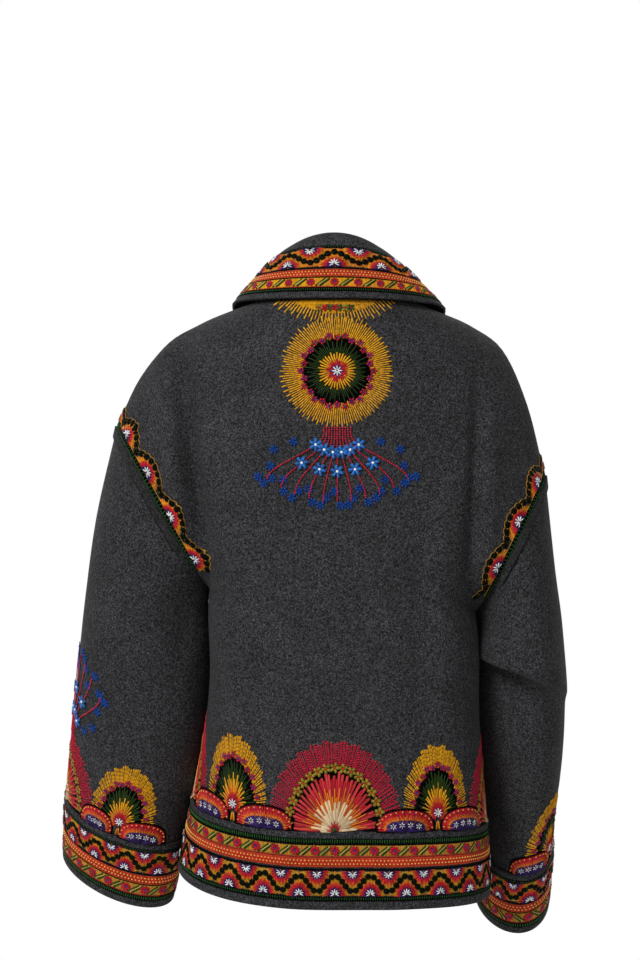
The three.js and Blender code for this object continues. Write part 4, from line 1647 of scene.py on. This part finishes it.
def scallop(work: Needlework, middle: float, wide: float = 34.0, stars: int = 4) -> None:
    """A low scallop on a band: purple heart with white stars, orange teeth, dotted red rim."""
    centre = (middle, -0.5)
    over = 0.9  # it is worked after the fans, over their feet

    def at(across: float, up: float) -> Shape:
        """A low arch, by its half width and its height."""

        def offset(angle: float) -> Pair:
            """The arch's offset at an angle."""
            x, y = math.sin(math.radians(angle)), math.cos(math.radians(angle))
            side = across * wide / 34 * math.copysign(abs(x) ** 0.9, x)
            return (side, -up * abs(y) ** 0.66)

        return offset

    rings(
        work,
        centre,
        (at(14, 8), at(36.5, 27), 60, BLACK, 3.4, 89.5, over),
        (at(22, 12), at(34.2, 25), 62, CRIMSON, 1.9, 89, over + 0.35, 0.8, 0, 0.05),
        (at(16, 8), at(29.5, 19.5), 46, ORANGE, 2.0, 88, over + 0.6, 0.7, 0.8, 0.16),
        (at(12, 6), at(27, 16.5), 40, AMBER, 1.5, 88, over + 0.75, 0.7, 0.8, 0.14),
        (at(1, 0.6), at(24.5, 13.5), 38, PURPLE, 2.7, 88, over + 0.95, 0.6),
    )
    for place in places_on(at(31.6, 22.3), centre, 86, 14):
        work.knot(place, FLAX, 1.9, 0.9, over + 0.9)
    for k in range(stars):
        x = (k - (stars - 1) / 2) * 10.2 * wide / 34
        place = (middle + x, -5.6 - 2.0 * (1 - (2 * x / wide) ** 2))
        work.star(place, 4.3, count=6, width=1.2, lift=over + 1.5)


@dataclass(frozen=True)
class BandPattern:
    """An embroidered band: its rows by kind, top and bottom, and how its flowers are spaced."""

    rows: tuple[tuple[str, float, float], ...]
    posy_pitch: float = 23.0
    wave_pitch: float = 41.0
    wheel: float = 7.3
    flower: Pair | None = None  # half width in mm and height as a share of it
    straw: Thread = STRAW
    amber: Thread = STRAW

    def work(self, work: Needlework, reach: float) -> None:
        """Works every row of the band over a length each way."""
        makers = {
            "ladder": self.ladder,
            "posies": self.posies,
            "dotted": self.dotted,
            "line": self.line,
            "wave": self.wave,
        }
        for row, top, bottom in self.rows:
            makers[row](work, (-reach, reach), (top, bottom))

    def ladder(self, work: Needlework, s: Pair, t: Pair) -> None:
        """Green rungs on black between two dark lines."""
        work.satin(s, t, BLACK, 1.7)
        for level in (t[0] + 0.5, t[1] - 0.5):
            work.line(s, level, BLACK, 1.1, 3.4, lift=0.4)
        for x in evenly(s, 2.75)[0]:
            work.stitch((x, t[0] + 0.6), (x, t[1] - 0.9), LEAF, 1.35, 0.7, 0.35)

    def posies(self, work: Needlework, s: Pair, t: Pair) -> None:
        """Red flowers with blue eyes, and slanting leaves between them."""
        work.satin(s, t, self.straw, 1.4)
        middle, half = (t[0] + t[1]) / 2, (t[1] - t[0]) / 2
        work.line(s, t[0] + 0.5, BLACK, 1.2, 4.0, lift=0.3)
        work.line(s, t[1] - 0.5, CRIMSON, 1.2, 4.0, lift=0.3)
        places, pitch = evenly(s, self.posy_pitch)
        reach = min(6.4, (pitch - 2 * half * 0.86) / 2 + 2.2)
        leaves = (
            # shift, height, thread, width, lift
            (-2.6, 0.78, BLACK, 2.5, 0.4),
            (-2.6, 0.78, LEAF, 1.3, 0.75),
            (2.6, 0.78, BLACK, 2.5, 0.4),
            (2.6, 0.78, LEAF, 1.3, 0.75),
            (0.0, 0.70, FLAX, 1.1, 0.7),
        )
        for x in places:
            work.blossom((x, middle), half * 0.86, CRIMSON, NAVY, 8, 0.6, 0.55)
            for shift, high, thread, width, lift in leaves:
                away = x + pitch / 2 + shift
                ends = (away - reach, middle - half * high), (away + reach, middle + half * high)
                work.stitch(*ends, thread, width, 0.7, lift)

    def dotted(self, work: Needlework, s: Pair, t: Pair) -> None:
        """Two rows of pale knots, set zigzag."""
        work.satin(s, t, SCARLET, 1.4)
        third = (t[1] - t[0]) / 3
        places, pitch = evenly(s, 4.2)
        for x in places:
            for level, shift in ((t[0] + third, -0.25), (t[0] + third * 2, 0.25)):
                work.knot((x + shift * pitch, level), FLAX, 2.0, 0.9, 0.5)
        for level in (t[0] + 1.0, t[1] - 1.0):
            work.line(s, level, ORANGE, 1.3, 3.0, lift=0.3)

    def line(self, work: Needlework, s: Pair, t: Pair) -> None:
        """A thick black line."""
        work.line(s, (t[0] + t[1]) / 2, BLACK, (t[1] - t[0]) * 1.25, 3.0, lift=0.3)

    def wave(self, work: Needlework, s: Pair, t: Pair) -> None:
        """Half flowers on both edges, and the chain of wheels that winds between them."""
        places, pitch = evenly(s, self.wave_pitch)
        middle, half = (t[0] + t[1]) / 2, (t[1] - t[0]) / 2
        work.satin(s, (t[0], middle + 0.8), self.amber, 1.7, ragged=0.5)
        work.satin(s, (middle - 0.8, t[1]), self.amber, 1.7, ragged=0.5)
        size, tall = self.flower or (min(half * 1.1, pitch * 0.38), 1.2)
        for x in places:
            half_flower(work, (x, t[1] - 0.5), size, 1.0, tall)
            if x > places[0]:
                half_flower(work, (x - pitch / 2, t[0] + 0.5), size, -1.0, tall)
        swing = half - self.wheel * 0.74
        fine = np.linspace(s[0] + 2, s[1] - 2, max(8, int((s[1] - s[0]) * 2)))
        level = middle + swing * np.cos(2 * math.pi * (fine - s[0]) / pitch)
        path = np.column_stack([fine, level])
        work.run(path, BLACK, self.wheel * 0.4, 3.5, lift=1.2)
        wheels = max(2, round(lengths(path)[-1] / (self.wheel * 0.98)))
        work.chain(path, wheels, self.wheel, 1.5)


HEM_PATTERN = BandPattern(
    (
        ("ladder", 7.5, 14.5),
        ("posies", 14.5, 29.0),
        ("dotted", 29.0, 41.0),
        ("line", 41.0, 45.0),
        ("wave", 45.0, 74.0),
        ("ladder", 74.0, 80.0),
    )
)
CUFF_PATTERN = BandPattern(
    (
        ("ladder", 8.0, 12.5),
        ("wave", 12.5, 40.0),
        ("line", 40.0, 43.0),
        ("dotted", 43.0, 55.0),
        ("posies", 55.0, 70.0),
        ("ladder", 70.0, 77.0),
    )
)
COLLAR_PATTERN = BandPattern(
    (
        ("ladder", 24.0, 28.0),
        ("wave", 28.0, 54.0),
        ("line", 54.0, 56.5),
        ("dotted", 56.5, 67.5),
        ("posies", 67.5, 81.0),
        ("ladder", 81.0, 86.5),
    ),
    posy_pitch=27.9,
    wave_pitch=58.0,
    wheel=8.2,
    flower=(18.5, 0.8),
    straw=GOLD,
    amber=AMBER,
)


def spray(
    work: Needlework, root: Pair, wide: float, drop: float, stems: int = 11, up: float = 1.0
) -> None:
    """A weeping spray: a sheaf of red stems, and blue blossoms with white eyes.

    Args:
        work: the needlework it belongs to.
        root: where the stems start.
        wide: half the width it spreads to.
        drop: how far it hangs down.
        stems: how many stems there are, an odd number.
        up: 1 if it hangs down and -1 if it stands up.
    """
    sheaf = 0.19 * wide
    spread = np.linspace(0, 1, 33)
    for k in range(stems):
        share = 2 * k / (stems - 1) - 1
        fall = drop * (1 - 0.3 * share * share)
        xs = root[0] + share * (sheaf + (wide - sheaf) * smoothstep(spread, 0.14, 1.0))
        stem = [(float(x), root[1] + up * fall * float(u)) for x, u in zip(xs, spread)]
        work.run(stem, CHERRY, 2.5, 2.6, lift=1.0, height=1.0)
        high, low = (19, 26) if k % 2 else (11, 29)
        work.blossom(stem[high], 8.4, BLUE, WHITE, 6, 1.9, 0.5)
        for at, side in ((low, 1), (32, -1)):
            away = side * (1 if k % 2 else -1) * 0.42 * wide / (stems - 1)
            work.blossom(moved(stem[at], (away, up * 4.0)), 6.3, NAVY, NAVY, 6, 0.6, 0.46)
    for side in (-1, 1):
        for out, level in ((0.62, 0.2), (0.9, 0.3), (0.95, 0.52), (1.12, 0.66)):
            place = (root[0] + side * wide * out, root[1] + up * drop * level)
            work.blossom(place, 6.3, NAVY, NAVY, 6, 0.5, 0.46)


def rosette(work: Needlework, centre: Pair) -> None:
    """The round sun on the upper back."""
    turn, ring = WHOLE_TURN, ellipse
    between = (360 / 136, 360 + 360 / 136)
    rings(
        work,
        centre,
        (ring(16), ring(40), 66, BLACK, 4.2, turn),
        (ring(45), ring(66), 68, GOLD, 1.8, turn, 0.25, 0.7, 1.6, 0, 7.0),
        (ring(44), ring(62), 68, GOLD, 1.8, between, 0.2, 0.7, 2.0, 0, 7.0),
        (ring(40), ring(52), 68, AMBER, 1.5, turn, 0.1),
        (ring(20), ring(37), 78, MOSS, 1.15, turn, 0.6, 0.7, 3.4, 0.4),
        (ring(8), ring(23.5), 36, GOLD, 2.2, turn, 0.6, 0.8, 1.2, 0.12),
        (ring(4), ring(14), 28, CRIMSON, 2.2, turn, 1.0, 0.7, 1.2, 0.14),
    )
    work.star(centre, 8.0, NAVY, width=2.8, lift=1.35)
    work.star(centre, 6.6, width=1.5, lift=2.4)
    count = 28
    for k in range(count):
        place = moved(centre, ring(42.5 if k % 2 else 39.5)(360 * k / count))
        work.blossom(place, 4.9, MAGENTA if k % 3 else CRIMSON, NAVY, 5, 0.9, 0.75)


def half_sun(work: Needlework, centre: Pair, edge: float) -> None:
    """The lower part of a wide sun that comes out under the collar.

    Args:
        work: the needlework it belongs to.
        centre: the sun's middle, under the collar.
        edge: the level it is worked from.
    """
    count = 113
    for k in range(count):
        angle = math.radians(180 - 68 + 136 * k / (count - 1))
        ray = (100 * math.sin(angle), -82 * math.cos(angle))
        start = max(0.5, (edge - centre[1]) / ray[1])
        # Every second ray is short, and fills the foot of the gap between two long ones.
        stop = (0.82 if k % 2 else 1.0 if k % 4 else 0.94) + work.dice.uniform(-0.02, 0.02)
        if stop - start < 0.03:
            continue
        ends = [moved(centre, ray, u) for u in (start, stop)]
        work.run(ends, GOLD, 1.8, 7.0, lift=0.1 if k % 2 else 0.3)
    posies = (
        (-12, OLIVE),
        (-5, LEAF),
        (0, CRIMSON),
        (6, LEAF),
        (12, CRIMSON),
        (-18, LEAF),
        (19, OLIVE),
    )
    for x, thread in posies:
        work.blossom((centre[0] + x, edge + 10.0), 5.2, thread, CRIMSON, 5, 1.1, 0.6)


# ---- the jacket's pieces ----------------------------------------------------------------


@dataclass
class Dresser:
    """Makes the pieces, hangs each one on the frame's root, and hides the solid that a cloth piece
    replaces.
    """

    wool: bpy.types.Material
    binding: bpy.types.Material
    threads: list[bpy.types.Material]
    made: dict[str, bpy.types.Object] = field(default_factory=dict)

    def keep(self, made: bpy.types.Object, slot: str) -> None:
        """Adds a piece that has been made."""
        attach(made, "root")
        self.made[made.name] = made

    def cloth(self, piece: Cloth) -> None:
        """Makes a cloth piece that replaces a solid."""
        made = piece.build(self.binding if piece.slot == "binding" else self.wool)
        self.keep(made, piece.slot)
        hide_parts(piece.node)
        wide, long = piece.extent()
        log.info("%s: flat %.3f x %.3f m, %.4f m2", piece.name, wide, long, piece.area())

    def declare(self, piece: Cloth) -> None:
        """Works out a piece's cut size, a little larger than it measures when formed, and keeps
        nothing of it.
        """
        tuple(CUT_ALLOWANCE * x for x in piece.extent())

    def stitches(self, work: Needlework, slot: str = "embroidered_band") -> None:
        """Makes a piece of embroidery."""
        self.keep(work.build(self.threads), slot)


def grid_of(us: Array, vs: Array) -> tuple[Array, Array]:
    """Two grids of parameters, rows by columns."""
    return np.meshgrid(us, vs, indexing="ij")


@dataclass
class BodyCloth:
    """The back or a front, with its hem band, between two places round the body."""

    part: str
    span: Pair
    columns: int
    rows: int = 94
    band_rows: int = 20

    def grids(self, rows: Array) -> tuple[Array, Array]:
        """Points and outward directions of these rows."""
        places = np.linspace(*self.span, self.columns)
        if max(map(abs, self.span)) > 1:
            # A front's columns stay on its own side of the side seam.
            tiny = 1e-6
            places = np.sign(places) * np.maximum(np.abs(places), 1 + tiny)
        row, g = grid_of(rows, places)
        side, face, along = Body.round(g)
        along = BODY.trimmed(side, face, row, along)
        return BODY.point(side, face, row, along), BODY.normal(side, face, row, along)

    def piece(self) -> Cloth:
        """The back or the front."""
        point, normal = self.grids(np.linspace(0, BODY_ROWS, self.rows))
        return Cloth(f"wool_{self.part}", self.part, "wool", point, normal, CLOTH)

    def band(self) -> Cloth:
        """The strip of cloth laid along the hem that carries the embroidery."""
        t = np.linspace(0, HEM_BAND_HEIGHT, self.band_rows)
        top = float(row_above(HEM_BAND_HEIGHT))
        point, normal = self.grids(top + (BODY_ROWS - top) * t / HEM_BAND_HEIGHT)
        point = point + normal * band_lift(t)[:, None, None]
        name, node = f"hem_band_cloth_{self.part}", f"hem_band_{self.part}"
        return Cloth(name, node, "embroidered_band", point, normal)


@dataclass
class SleeveCloth:
    """A sleeve with its cuff band and the strip along its head."""

    side: Side
    columns: int = 85
    rows: int = 91
    elbow_rows: int = 32
    elbow: Pair = (1.55, 3.15)

    def grids(self, rows: Array, angles: Array, lift: Array | float = 0.0) -> tuple[Array, Array]:
        """Points lifted off the sleeve, and outward directions."""
        form = SleeveForm(self.side)
        normal = form.normal(angles, rows)
        return form.point(angles, rows) + normal * lift, normal

    def tube(self) -> Cloth:
        """The sleeve."""
        fine = np.linspace(*self.elbow, self.elbow_rows)
        levels = np.unique(np.round([*np.linspace(0, RINGS, self.rows), *fine], 4))
        grids = self.grids(*grid_of(levels, np.linspace(0, 360, self.columns)))
        name = f"sleeve_{self.side.word}"
        return Cloth(f"wool_{name}", name, "wool", *grids, CLOTH, closed=True)

    def cuff(self) -> Cloth:
        """The band round the cuff."""
        angles = np.linspace(0, 360, self.columns)
        each = SleeveForm(self.side).rings_for(angles, RINGS, np.full_like(angles, 1.0))
        tt, aa = grid_of(np.linspace(0, CUFF_BAND_HEIGHT, 20), angles)
        rows = RINGS - each[None, :] * (CUFF_BAND_HEIGHT - tt)
        grids = self.grids(rows, aa, band_lift(tt)[..., None])
        word = self.side.word
        name, node = f"cuff_band_cloth_{word}", f"cuff_band_{word}"
        return Cloth(name, node, "embroidered_band", *grids, closed=True)

    def strip(self) -> Cloth:
        """The plain strip along the sleeve's head."""
        angles = np.linspace(-STRIP_REACH, STRIP_REACH, 91)
        each = SleeveForm(self.side).rings_for(angles, 0, np.full_like(angles, 1.0))
        tt, aa = grid_of(np.linspace(1, ARMHOLE_STRIP_WIDTH, 5), angles)
        grids = self.grids(tt * each[None, :], aa, SEAM + BAND)
        word = self.side.word
        return Cloth(f"head_strip_{word}", f"armhole_strip_{word}", "binding", *grids)


def collar_cloth() -> Cloth:
    """The collar, from the neck seam over the fold to its edge."""
    places = grid_of(np.linspace(-2, 2, 161), np.linspace(0, 2, 43))
    grids = COLLAR.point(*places), COLLAR.normal(*places)
    return Cloth("wool_collar", "collar", "wool", *grids, CLOTH)


# Where the great sun's middle is on each cuff, in mm outwards from the back of the sleeve.
CUFF_SUN = {Side.LEFT: 86.0, Side.RIGHT: 140.0}
# The middles of the suns above the hem, and how far the scallops are from the golden ones.
CRIMSON_SUNS = (-245, 0, 245)
GOLDEN_SUNS = (-367, -122, 122, 367)
SCALLOP_AWAY = 39


@dataclass
class Jacket:
    """The whole jacket."""

    dresser: Dresser

    def cloth(self) -> dict[str, Cloth]:
        """Makes every piece of cloth."""
        back = BodyCloth("back", (-1, 1), 168)
        pieces = [back.piece(), back.band(), collar_cloth()]
        for side in Side:
            front = BodyCloth(f"front_{side.word}", (side * 1.0, side * 2.0), 60)
            sleeve = SleeveCloth(side)
            pieces += [front.piece(), front.band(), sleeve.tube(), sleeve.cuff(), sleeve.strip()]
        for piece in pieces:
            self.dresser.cloth(piece)
        return {piece.name: piece for piece in pieces}

    def hem(self) -> None:
        """The embroidery of the hem: the band, and the suns and scallops above it."""
        chart = hem_chart()
        band = Needlework("hem_embroidery", chart, 11)
        HEM_PATTERN.work(band, 516.0)
        self.dresser.stitches(band)
        suns = Needlework("hem_suns", chart, 12)
        for middle in CRIMSON_SUNS:
            crimson_fan(suns, (middle, -1))
        for middle in GOLDEN_SUNS:
            golden_fan(suns, (middle, -1))
        for middle in GOLDEN_SUNS:
            for way in (-SCALLOP_AWAY, SCALLOP_AWAY):
                scallop(suns, middle + way)
        self.dresser.stitches(suns)

    def cuff(self, side: Side) -> None:
        """The embroidery of a cuff."""
        sleeve = SleeveForm(side)
        chart = cuff_chart(sleeve)
        band = Needlework(f"cuff_embroidery_{side.word}", chart, 21)
        CUFF_PATTERN.work(band, cuff_girth(sleeve) / 2)
        self.dresser.stitches(band)
        suns = Needlework(f"cuff_suns_{side.word}", chart, 22)
        middle = CUFF_SUN[side]
        crimson_fan(suns, (middle, -1), 0.93)
        for way in (-1, 1):
            golden_fan(suns, (middle + way * 109, -1), 0.94)
            scallop(suns, middle + way * 79, 23, stars=3)
            scallop(suns, middle + way * 139, 28)
        if side is Side.LEFT:
            spray(suns, (middle - 14, -92), 46, 104, 7, -1)
        self.dresser.stitches(suns)

    def head(self, side: Side) -> None:
        """The black stitches below a sleeve's head strip, which also paint the strip edge's
        shadow.
        """
        work = Needlework(f"head_stitches_{side.word}", head_chart(SleeveForm(side)), 61)
        reach = -work.chart.s0 - 3
        # This black line lies where the strip's raised edge casts its shadow: it is stitches, and
        # it is painted shadow as well.
        work.line((-reach, reach), ARMHOLE_STRIP_WIDTH + 0.9, BLACK, 1.5, 4.0)
        self.dresser.stitches(work, "binding")

    def collar(self) -> None:
        """The embroidery of the collar."""
        work = Needlework("collar_embroidery", collar_chart(), 31)
        COLLAR_PATTERN.work(work, 377.0)
        self.dresser.stitches(work)

    def back(self, tree: BVHTree) -> None:
        """The round sun, the half sun and the spray on the upper back."""
        work = Needlework("back_sun", flat_chart(tree, (-130, 130), (-360, 0)), 41)
        half_sun(work, (-1, -44), 8)
        rosette(work, (-3, 93))
        spray(work, (-3, 158), 82, 88)
        self.dresser.stitches(work)

    def armhole(self, tree: BVHTree, side: Side) -> None:
        """The scallops along an armhole's seam."""
        chart = armhole_chart(tree, side)
        work = Needlework(f"armhole_embroidery_{side.word}", chart, 51)
        reach = -chart.s0 - 2
        pitch, base = 58.0, -7.0
        span = (-reach, reach)
        work.satin(span, (-6.6, -0.5), BLACK, 1.7)
        for x in evenly(span, 4.8)[0]:
            work.stitch((x, -6.0), (x, -1.2), LEAF, 1.2, 0.7, 0.35)
        work.line(span, -1.2, LEAF, 1.6, 3.4, lift=0.4)
        work.line(span, -6.9, GOLD, 1.1, 3.4, lift=0.4)
        fine = np.linspace(-reach + 3, reach - 3, 900)
        arches = base - 3.4 - 12.6 * np.abs(np.cos(math.pi * fine / pitch)) ** 0.85
        count = int(reach / pitch)
        shape = (ellipse(2), ellipse(24, 13.5))
        for k in range(-count, count + 1):
            middle = (k * pitch, base)
            work.rays(middle, *shape, 31, AMBER, 2.0, 88, 0.1, 0.5, uneven=0.2)
            half_flower(work, middle, 18.5, 1.0, 0.92)
        path = np.column_stack([fine, arches])
        work.run(path, GOLD, 1.3, 3.4, lift=0.8)
        steps = lengths(path)
        wheels = round(steps[-1] / 8.3)
        work.chain(path, wheels, 7.8, 1.0)
        beads = np.abs(np.sin(math.pi * steps / steps[-1] * (wheels - 1) + math.pi / 2))
        work.run(np.column_stack([fine, arches - 2.9 - 2.3 * beads]), GOLD, 1.2, 1.9, lift=0.3)
        self.dresser.stitches(work)


@dataclass
class Studio:
    """White paper, soft light, and a camera square behind the jacket."""

    target: Vector = field(default_factory=lambda: Vector((0.017, 0.0, -0.22)))
    distance: float = 2.6
    frame_height: float = 1.114  # metres shown at the back of the jacket
    frame_at: float = 2.47
    floor: float = -1.45
    floor_half: float = 1.6
    white: str = "#FAFAFA"

    def build(self) -> None:
        """Makes the floor, the lights and the camera."""
        self.paper()
        self.light("key", (1.9, 2.8, 2.1), 1.3, 116)
        self.light("fill", (-1.0, 3.4, 0.0), 2.0, 10)
        self.light("front", (0.6, -3.2, 1.2), 2.6, 20)
        self.room()
        bpy.context.scene.view_settings.view_transform = "Standard"
        lens = bpy.data.cameras.new("camera")
        lens.sensor_fit = "VERTICAL"
        lens.sensor_height = 24
        lens.lens = 24 / (self.frame_height / self.frame_at)
        camera = bpy.data.objects.new("camera", lens)
        camera.location = self.target + Vector((0, self.distance, 0))
        camera.rotation_euler = (math.pi / 2, 0, math.pi)
        bpy.context.scene.collection.objects.link(camera)
        bpy.context.scene.camera = camera

    def paper(self) -> None:
        """Makes the floor of seamless white paper."""
        bm = bmesh.new()
        bmesh.ops.create_grid(bm, x_segments=1, y_segments=1, size=self.floor_half)
        bmesh.ops.translate(bm, verts=bm.verts, vec=(0, 0, self.floor))
        mesh = bpy.data.meshes.new("paper_floor")
        bm.to_mesh(mesh)
        bm.free()
        material, tree = fresh("studio_paper")
        shade(tree, {"Base Color": srgb(self.white)}, roughness=0.95)
        mesh.materials.append(material)
        new_object("paper_floor", mesh)

    def room(self) -> None:
        """Lights the room: a bright screen beyond the jacket, and dimmer walls."""
        world = bpy.data.worlds.new("studio")
        world.use_nodes = True
        tree = world.node_tree
        sky = tree.nodes["Background"]
        sky.inputs["Color"].default_value = (1, 1, 1, 1)
        way = add(tree, "SeparateXYZ", {"Vector": add(tree, "TexCoord").outputs["Generated"]})
        glow = add(
            tree,
            "MapRange",
            {"Value": way.outputs["Y"]},
            from_min=-0.8,
            from_max=-0.3,
            to_min=1.0,
            to_max=0.24,
        )
        tree.links.new(glow.outputs["Result"], sky.inputs["Strength"])
        bpy.context.scene.world = world

    def light(self, name: str, place: Sequence[float], size: float, power: float) -> None:
        """A square soft light that faces the jacket."""
        lamp = bpy.data.lights.new(name, "AREA")
        lamp.size = size
        lamp.energy = power
        made = bpy.data.objects.new(name, lamp)
        made.location = place
        made.rotation_euler = (self.target - Vector(place)).to_track_quat("-Z", "Y").to_euler()
        bpy.context.scene.collection.objects.link(made)


def main() -> None:
    """Builds the jacket and the studio, and reports each piece."""
    dresser = Dresser(
        FeltedWool("felted_wool").material(),
        FeltedWool("wool_binding", middle="#1E1E1F", pale="#464648").material(),
        [thread.material(deeper) for thread in Thread for deeper in (False, True)],
    )
    jacket = Jacket(dresser)
    cloth = jacket.cloth()
    tree = tree_of([cloth[f"wool_{k}"].outer for k in ("back", "front_left", "front_right")])
    jacket.hem()
    for side in Side:
        jacket.cuff(side)
        jacket.armhole(tree, side)
        jacket.head(side)
    jacket.collar()
    jacket.back(tree)
    for name, piece in cloth.items():
        dresser.declare(piece)
    Studio().build()
    faces = sum(len(made.data.polygons) for made in dresser.made.values())
    log.info("%d pieces, %d faces", len(dresser.made), faces)


if __name__ == "__main__":
    main()
